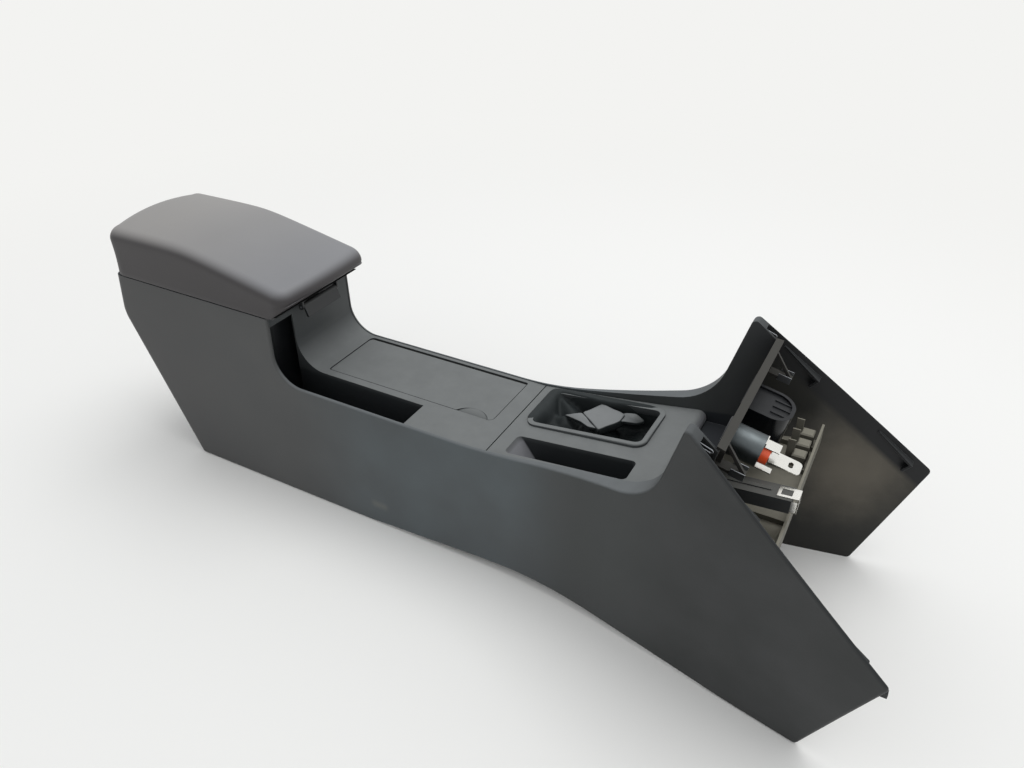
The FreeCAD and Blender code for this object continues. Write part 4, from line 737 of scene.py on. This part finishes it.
def padColumns():
    low, high = [[c / mm for c in corner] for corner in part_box("armrest_pad")]
    rear, front, half, hem, crest = low[0], high[0], high[1], low[2] + padLook["hemLiftMm"], high[2]
    bendX = rear + padLook["bendAt"] * (front - rear)
    nose = padLook["noseFallMm"] / (front - bendX)
    ceiling = hem + padLook["frameRoomMm"]

    def topAt(flat):
        past = flat.x - bendX
        fall = nose * (past + math.sqrt(past * past + padLook["bendMm"] ** 2)) / 2  # soft, then straight
        back = unitShare(-past / (bendX - rear))
        crown = padLook["crownMm"] + (padLook["rearCrownMm"] - padLook["crownMm"]) * back
        return crest - padLook["topInsetMm"] - fall - crown * (flat.y / half) ** 2

    def hemAt(flat):
        slotToShade = (flat.x - front + padLook["undercutMm"]) / padLook["undercutMm"]
        lift = max(hem, hem + padLook["noseLiftMm"] * slotToShade)
        if flat.x < rear + padLook["hingeDeepMm"]:  # room for the hinge
            clear = (padLook["hingeHalfMm"] + padLook["hingeRampMm"] - abs(flat.y)) / padLook["hingeRampMm"]
            lift = max(lift, hem + padLook["frameRoomMm"] * unitShare(clear))
        return lift

    def roundAt(normal):
        rearMore = padLook["rearRoundMm"] - padLook["sideRoundMm"]
        frontMore = padLook["frontRoundMm"] - padLook["sideRoundMm"]
        more = rearMore * max(0.0, -normal.x) ** 3 + frontMore * max(0.0, normal.x) ** 2
        return padLook["sideRoundMm"] + more

    outline = padOutline(rear, front, half)
    columns = []
    for i, here in enumerate(outline):
        along = outline[(i + 1) % len(outline)] - outline[i - 1]
        normal = Vector((along.y, -along.x)).normalized()
        spineX = min(max(here.x, rear + padLook["spineRearMm"]), front - padLook["spineFrontMm"])
        spine = Vector((spineX, 0.0))
        shoulder = roundAt(normal)
        rake = Vector((padLook["rakeMm"] * max(0.0, -normal.x) ** 2, 0.0))
        column = []
        for step in range(padLook["topSteps"]):
            flat = spine.lerp(here + rake - normal * shoulder, step / padLook["topSteps"])
            column.append((flat, topAt(flat)))
        for step in range(padLook["shoulderSteps"] + 1):
            turn = math.pi / 2 * (1.0 - step / padLook["shoulderSteps"])
            flat = here + rake - normal * shoulder * (1.0 - math.cos(turn))
            column.append((flat, topAt(flat) - shoulder * (1.0 - math.sin(turn))))
        wallTop = column[-1][1]
        foot = hemAt(here)
        hemRound = padLook["hemRoundMm"]
        for step in range(1, padLook["wallSteps"]):
            share = step / padLook["wallSteps"]
            flat = here + rake * (1.0 - share) - normal * padLook["pullMm"] * math.sin(math.pi * share)
            column.append((flat, wallTop + (foot + hemRound - wallTop) * share))
        for step in range(padLook["hemSteps"] + 1):  # the hem's rounded edge
            turn = math.pi / 2 * step / padLook["hemSteps"]
            flat = here - normal * hemRound * (1.0 - math.cos(turn))
            column.append((flat, min(hemAt(flat) + hemRound * (1.0 - math.sin(turn)), wallTop)))
        inner = here - normal * padLook["hemMm"]
        column.append((inner, min(hemAt(inner), wallTop)))
        for step in range(padLook["undersideSteps"] + 1):
            flat = inner.lerp(spine, step / padLook["undersideSteps"])
            column.append((flat, max(ceiling, hemAt(flat))))
        columns.append(column)
    return columns


def makeArmrestPad(vinyl):
    columns = padColumns()
    rings = [[(flat.x, flat.y, height) for flat, height in ring] for ring in zip(*columns)]
    mesh = ringMesh("armrest_cushion", [(0, rings)])
    pad = newPiece("armrest_cushion", mesh, [vinyl], "armrest_lid")
    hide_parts("armrest_pad")
    print("armrest cushion made:", len(pad.data.polygons), "faces")


# gear lever boot: a skirt sunk inside its frame, with the folded top lying on it.
# Places are along the slope, across, and above the panel's face, from the frame's middle.
bootLook = {
    "beadMm": 6.4,  # the frame's bead, which the leather tucks behind at the near side and the front
    "coverMm": 1.5, "coverHeightMm": 3.2,  # at the rear and the far side it lies over the frame
    "tuckMm": -1.0, "rollMm": 8.0,
    "hubMm": (0.0, 2.0),
    "floorMm": -29.0, "wallRunMm": 9.0, "rearRunMm": 26.0,
    "moundMm": (13.0, -7.0),  # radius and height
    "cornerPower": 12.0,
    "ridgesMm": (((-68, 36, -3.0), (-38, 14, -9.0)), ((-58, 4, -13.0), (-40, 0, -7.0)),
                 ((-58, 4, -13.0), (-46, -18, -15.0))),
    "ridgeSlope": 1.0, "ridgeRoundMm": 5.0, "ridgeFrom": 0.05,  # no ridge in this first share of the wall
    # the layer is the height at which the noise is cut
    "crumpleMm": 2.6, "crumpleCellMm": 15.0, "crumpleLayerMm": 40.0, "creaseDepth": 2.4,
    "stations": 180, "skirtSteps": 34,
    "thickMm": 1.2,
    # folded leather, lowest first: its thickness and its corners
    "foldsMm": {
        "rear wing": (
            4.5, ((-41, 0, -4.0), (-21, 7, -0.8), (9, -19, -0.8), (-2, -17, -1.8), (-16, -9, -2.6))),
        "front flap": (
            4.0, ((24, 25, -3.0), (38, 30, -4.5), (49, 28, -10.0), (43, 17, -8.5), (27, 6, -3.0))),
        "top square": (
            11.0, ((-20, 6, 0.8), (-7, 33, -0.6), (28, 21, -0.8), (28.5, 4, 0.2), (12, -22, 1.4))),
    },
    # a fold's section: share of the way out, and how far below the top face in parts of the thickness
    "foldSection": ((0.0, 0.0), (0.3, 0.0), (0.6, 0.0), (0.85, 0.0), (0.95, 0.02), (0.985, 0.1), (1.0, 0.3),
                    (1.0, 0.6), (0.97, 0.9), (0.9, 1.0), (0.5, 1.0), (0.0, 1.0)),
    "foldRoundMm": 3.2, "foldEdgeSteps": 14, "foldCornerSteps": 5, "foldSagMm": 1.3, "foldLayer": 9.0,
}


def skirtRim(angle, halfX, halfY):  # how far out a ray from the hub meets the frame, and how covered that is
    hub = Vector(bootLook["hubMm"])
    alongRay, acrossRay = math.cos(angle), math.sin(angle)
    edgeX = halfX - bootLook["beadMm"] if alongRay > 0 else -halfX - bootLook["coverMm"]
    edgeY = halfY + bootLook["coverMm"] if acrossRay > 0 else bootLook["beadMm"] - halfY
    tiny, far = 1e-6, 1e6
    toX = (edgeX - hub.x) / alongRay if abs(alongRay) > tiny else far
    toY = (edgeY - hub.y) / acrossRay if abs(acrossRay) > tiny else far
    soft = bootLook["cornerPower"]
    reach = (toX ** -soft + toY ** -soft) ** (-1.0 / soft)
    shareX = (reach / toX) ** soft  # how much of the rim here is an end of the frame
    covered = shareX * (alongRay < 0) + (1.0 - shareX) * (acrossRay > 0)
    return reach, covered


def ridgeHeight(flat):  # of the highest ridge here
    heights = []
    for start, end in bootLook["ridgesMm"]:
        foot, head = Vector(start[:2]), Vector(end[:2])
        run = head - foot
        share = unitShare((flat - foot).dot(run) / run.length_squared)
        crest = start[2] + (end[2] - start[2]) * share
        aside = (flat - foot.lerp(head, share)).length
        soft = bootLook["ridgeRoundMm"]
        heights.append(crest - bootLook["ridgeSlope"] * (math.hypot(aside, soft) - soft))
    return max(heights)


def skirtColumn(angle, halfX, halfY):  # from the rim down, over the floor and up the mound under the folds
    hub = Vector(bootLook["hubMm"])
    ray = Vector((math.cos(angle), math.sin(angle)))
    reach, covered = skirtRim(angle, halfX, halfY)
    rimHeight = bootLook["tuckMm"] + (bootLook["coverHeightMm"] - bootLook["tuckMm"]) * covered
    run = bootLook["wallRunMm"] + (bootLook["rearRunMm"] - bootLook["wallRunMm"]) * max(0.0, -ray.x) ** 4
    roll = bootLook["rollMm"] * covered
    radius, top = bootLook["moundMm"]
    floor = bootLook["floorMm"]
    column = []
    for step in range(bootLook["skirtSteps"] + 1):
        inwards = reach * step / bootLook["skirtSteps"]
        flat = hub + ray * (reach - inwards)
        down = unitShare((inwards - roll) / run)
        height = rimHeight + (floor - rimHeight) * (1.0 - math.cos(math.pi * down)) / 2
        up = unitShare(2.0 - (reach - inwards) / radius)  # the mound's foot is at twice its radius
        height = max(height, floor + (top - floor) * up)
        if down > bootLook["ridgeFrom"]:
            height = max(height, ridgeHeight(flat))
        cell = Vector((flat.x, flat.y, bootLook["crumpleLayerMm"])) / bootLook["crumpleCellMm"]
        crumple = bootLook["crumpleMm"] * (1.0 - bootLook["creaseDepth"] * abs(noise.noise(cell)))
        height += crumple * min(1.0, down * 2.0) * (1.0 - up)
        column.append((flat, height))
    return column


def foldRings(thick, corners):  # a flat lobe of doubled leather with rounded corners and a rolled edge
    centre = sum((Vector(corner) for corner in corners), Vector()) / len(corners)
    cornerRound = bootLook["foldRoundMm"]
    edgeSteps = bootLook["foldEdgeSteps"]
    outline = []
    count = len(corners)
    for i in range(count):
        here, after, before = [Vector(corners[k]) for k in (i, (i + 1) % count, i - 1)]
        start = here + (before - here).normalized() * cornerRound
        end = here + (after - here).normalized() * cornerRound
        for step in range(bootLook["foldCornerSteps"]):
            share = step / (bootLook["foldCornerSteps"] - 1)
            outline.append(start * (1 - share) ** 2 + here * 2 * share * (1 - share) + end * share * share)
        following = after + (here - after).normalized() * cornerRound
        outline += [end.lerp(following, step / edgeSteps) for step in range(1, edgeSteps)]
    rings = []
    for share, depth in bootLook["foldSection"]:
        ring = []
        for point in outline:
            place = centre.lerp(point, share)
            layer = thick * bootLook["foldLayer"]
            wave = noise.noise(Vector((place.x, place.y, layer)) / bootLook["crumpleCellMm"])
            place.z += bootLook["foldSagMm"] * wave * (1.0 if share else 0.0) - depth * thick
            ring.append(place)
        rings.append(ring)
    return rings


def makeBoot(skirtLeather, foldLeather):
    frameLow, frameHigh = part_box("boot_frame")
    halfX = (frameHigh[0] - frameLow[0]) / mm / 2 / math.cos(panelSlope)
    halfY = (frameHigh[1] - frameLow[1]) / mm / 2
    middle = Vector(((frameLow[0] + frameHigh[0]) / 2, (frameLow[1] + frameHigh[1]) / 2, 0)) / mm
    middle.z = panelHeight(middle.x)
    along = Vector((math.cos(panelSlope), 0, math.sin(panelSlope)))
    out = Vector((-math.sin(panelSlope), 0, math.cos(panelSlope)))
    across = Vector((0, 1, 0))

    def toFrame(u, v, height):
        return middle + along * u + across * v + out * height

    angles = [2 * math.pi * station / bootLook["stations"] for station in range(bootLook["stations"])]
    columns = [skirtColumn(angle, halfX, halfY) for angle in angles]
    outside = [[toFrame(flat.x, flat.y, height) for flat, height in ring] for ring in zip(*columns)]
    inside = [[point - out * bootLook["thickMm"] for point in ring] for ring in outside[::-1]]
    forms = [(0, outside + inside + outside[:1])]
    for thick, corners in bootLook["foldsMm"].values():
        forms.append((1, [[toFrame(*point) for point in ring] for ring in foldRings(thick, corners)]))
    mesh = ringMesh("gear_boot", forms)
    boot = newPiece("gear_boot", mesh, [skirtLeather, foldLeather], mainBody)
    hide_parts("shift_boot")
    print("gear boot made:", len(boot.data.polygons), "faces")


# bright wire clips in the channels at the wing tips: two legs and a bend, from the cap to the lining.
# Places are in millimetres along and up, on a wire in the middle of the channel.
tipClipLook = {
    "wireMm": 1.3, "wireSides": 10,
    "acrossMm": 113.0, "liningMm": 107.0,
    "capMm": (304.5, 299.3), "kneeMm": (304.9, 296.8), "rearMm": (306.2, 295.6), "frontMm": (318.5, 290.9),
    "bendMm": 1.8, "bendSteps": 8,
}


def clipPath(side):
    across = side * tipClipLook["acrossMm"]
    cap, knee, rear, front = [Vector((tipClipLook[key][0], across, tipClipLook[key][1]))
                              for key in ("capMm", "kneeMm", "rearMm", "frontMm")]
    along = (front - rear).normalized()
    down = Vector((along.z, 0.0, -along.x))
    bend = tipClipLook["bendMm"]
    path = [cap, knee, rear, front]
    for step in range(1, tipClipLook["bendSteps"]):
        turn = math.pi * step / tipClipLook["bendSteps"]
        path.append(front + down * bend * (1.0 - math.cos(turn)) + along * bend * math.sin(turn))
    path += [front + down * bend * 2, rear + down * bend * 2]
    path.append(path[-1] - along + Vector((0.0, side * tipClipLook["liningMm"] - across, 0.0)))
    return path


def makeTipClips(steel):
    sides = tipClipLook["wireSides"]
    half = tipClipLook["wireMm"] / 2
    turns = [2 * math.pi * k / sides for k in range(sides)]
    for name, side in (("near_tip_clip", -1), ("far_tip_clip", 1)):
        path = clipPath(side)
        out = Vector((0.0, 1.0, 0.0))
        rings = [[path[0]] * sides]
        for i, point in enumerate(path):
            run = (path[min(i + 1, len(path) - 1)] - path[max(i - 1, 0)]).normalized()
            out = (out - run * out.dot(run)).normalized()
            beside = run.cross(out)
            rings.append([point + (out * math.cos(turn) + beside * math.sin(turn)) * half for turn in turns])
        rings.append([path[-1]] * sides)
        newPiece(name, ringMesh(name, [(0, rings)]), [steel], mainBody)
    print("wing tip clips made")


# which CAD pieces wear each finish
wornBy = {
    "body": ("console_body",),
    "panel": ("cup_panel", "cup_lid", "shift_panel", "boot_frame"),
    "inner": ("armrest_lid_frame", "bin_liner", "cup_insert", "latch_paddle", "socket_bezel"),
    "plate": ("front_panel",),
    "housing": ("second_housing", "second_cover"),
    "holder": ("lamp_holder",),
    "bracket": ("cross_bracket",),
    "insulator": ("socket_insulator",),
    "hinge": ("armrest_hinge_bracket", "armrest_hinge_pin", "hinge_screws", "latch_pin", "latch_spring",
              "cup_lid_pin", "trim_clips", "bracket_screws"),
    "socket": ("socket_shell",),
    "terminal": ("socket_contact", "socket_terminals", "lamp_clip"),
}


def dressNodes():
    finishes = {
        "body": mouldedPlastic(bodyLook, paintBody), "panel": mouldedPlastic(panelLook, paintPanel),
        "inner": mouldedPlastic(innerLook), "plate": mouldedPlastic(plateLook),
        "housing": mouldedPlastic(housingLook), "holder": mouldedPlastic(holderLook),
        "bracket": mouldedPlastic(bracketLook), "insulator": mouldedPlastic(insulatorLook),
        "hinge": platedMetal(hingeLook), "socket": platedMetal(socketLook),
        "terminal": platedMetal(terminalLook),
    }
    for finish, names in wornBy.items():
        for name in names:
            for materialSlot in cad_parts[name].material_slots:
                materialSlot.material = finishes[finish]
    print("finishes set on", sum(len(names) for names in wornBy.values()), "CAD pieces")
    return finishes


makeCamera()
makeStudio()
finishes = dressNodes()
makeTipClips(finishes["hinge"])
makeArmrestPad(softSkin(vinylLook))
makeBoot(softSkin(skirtLook), softSkin(leatherLook))
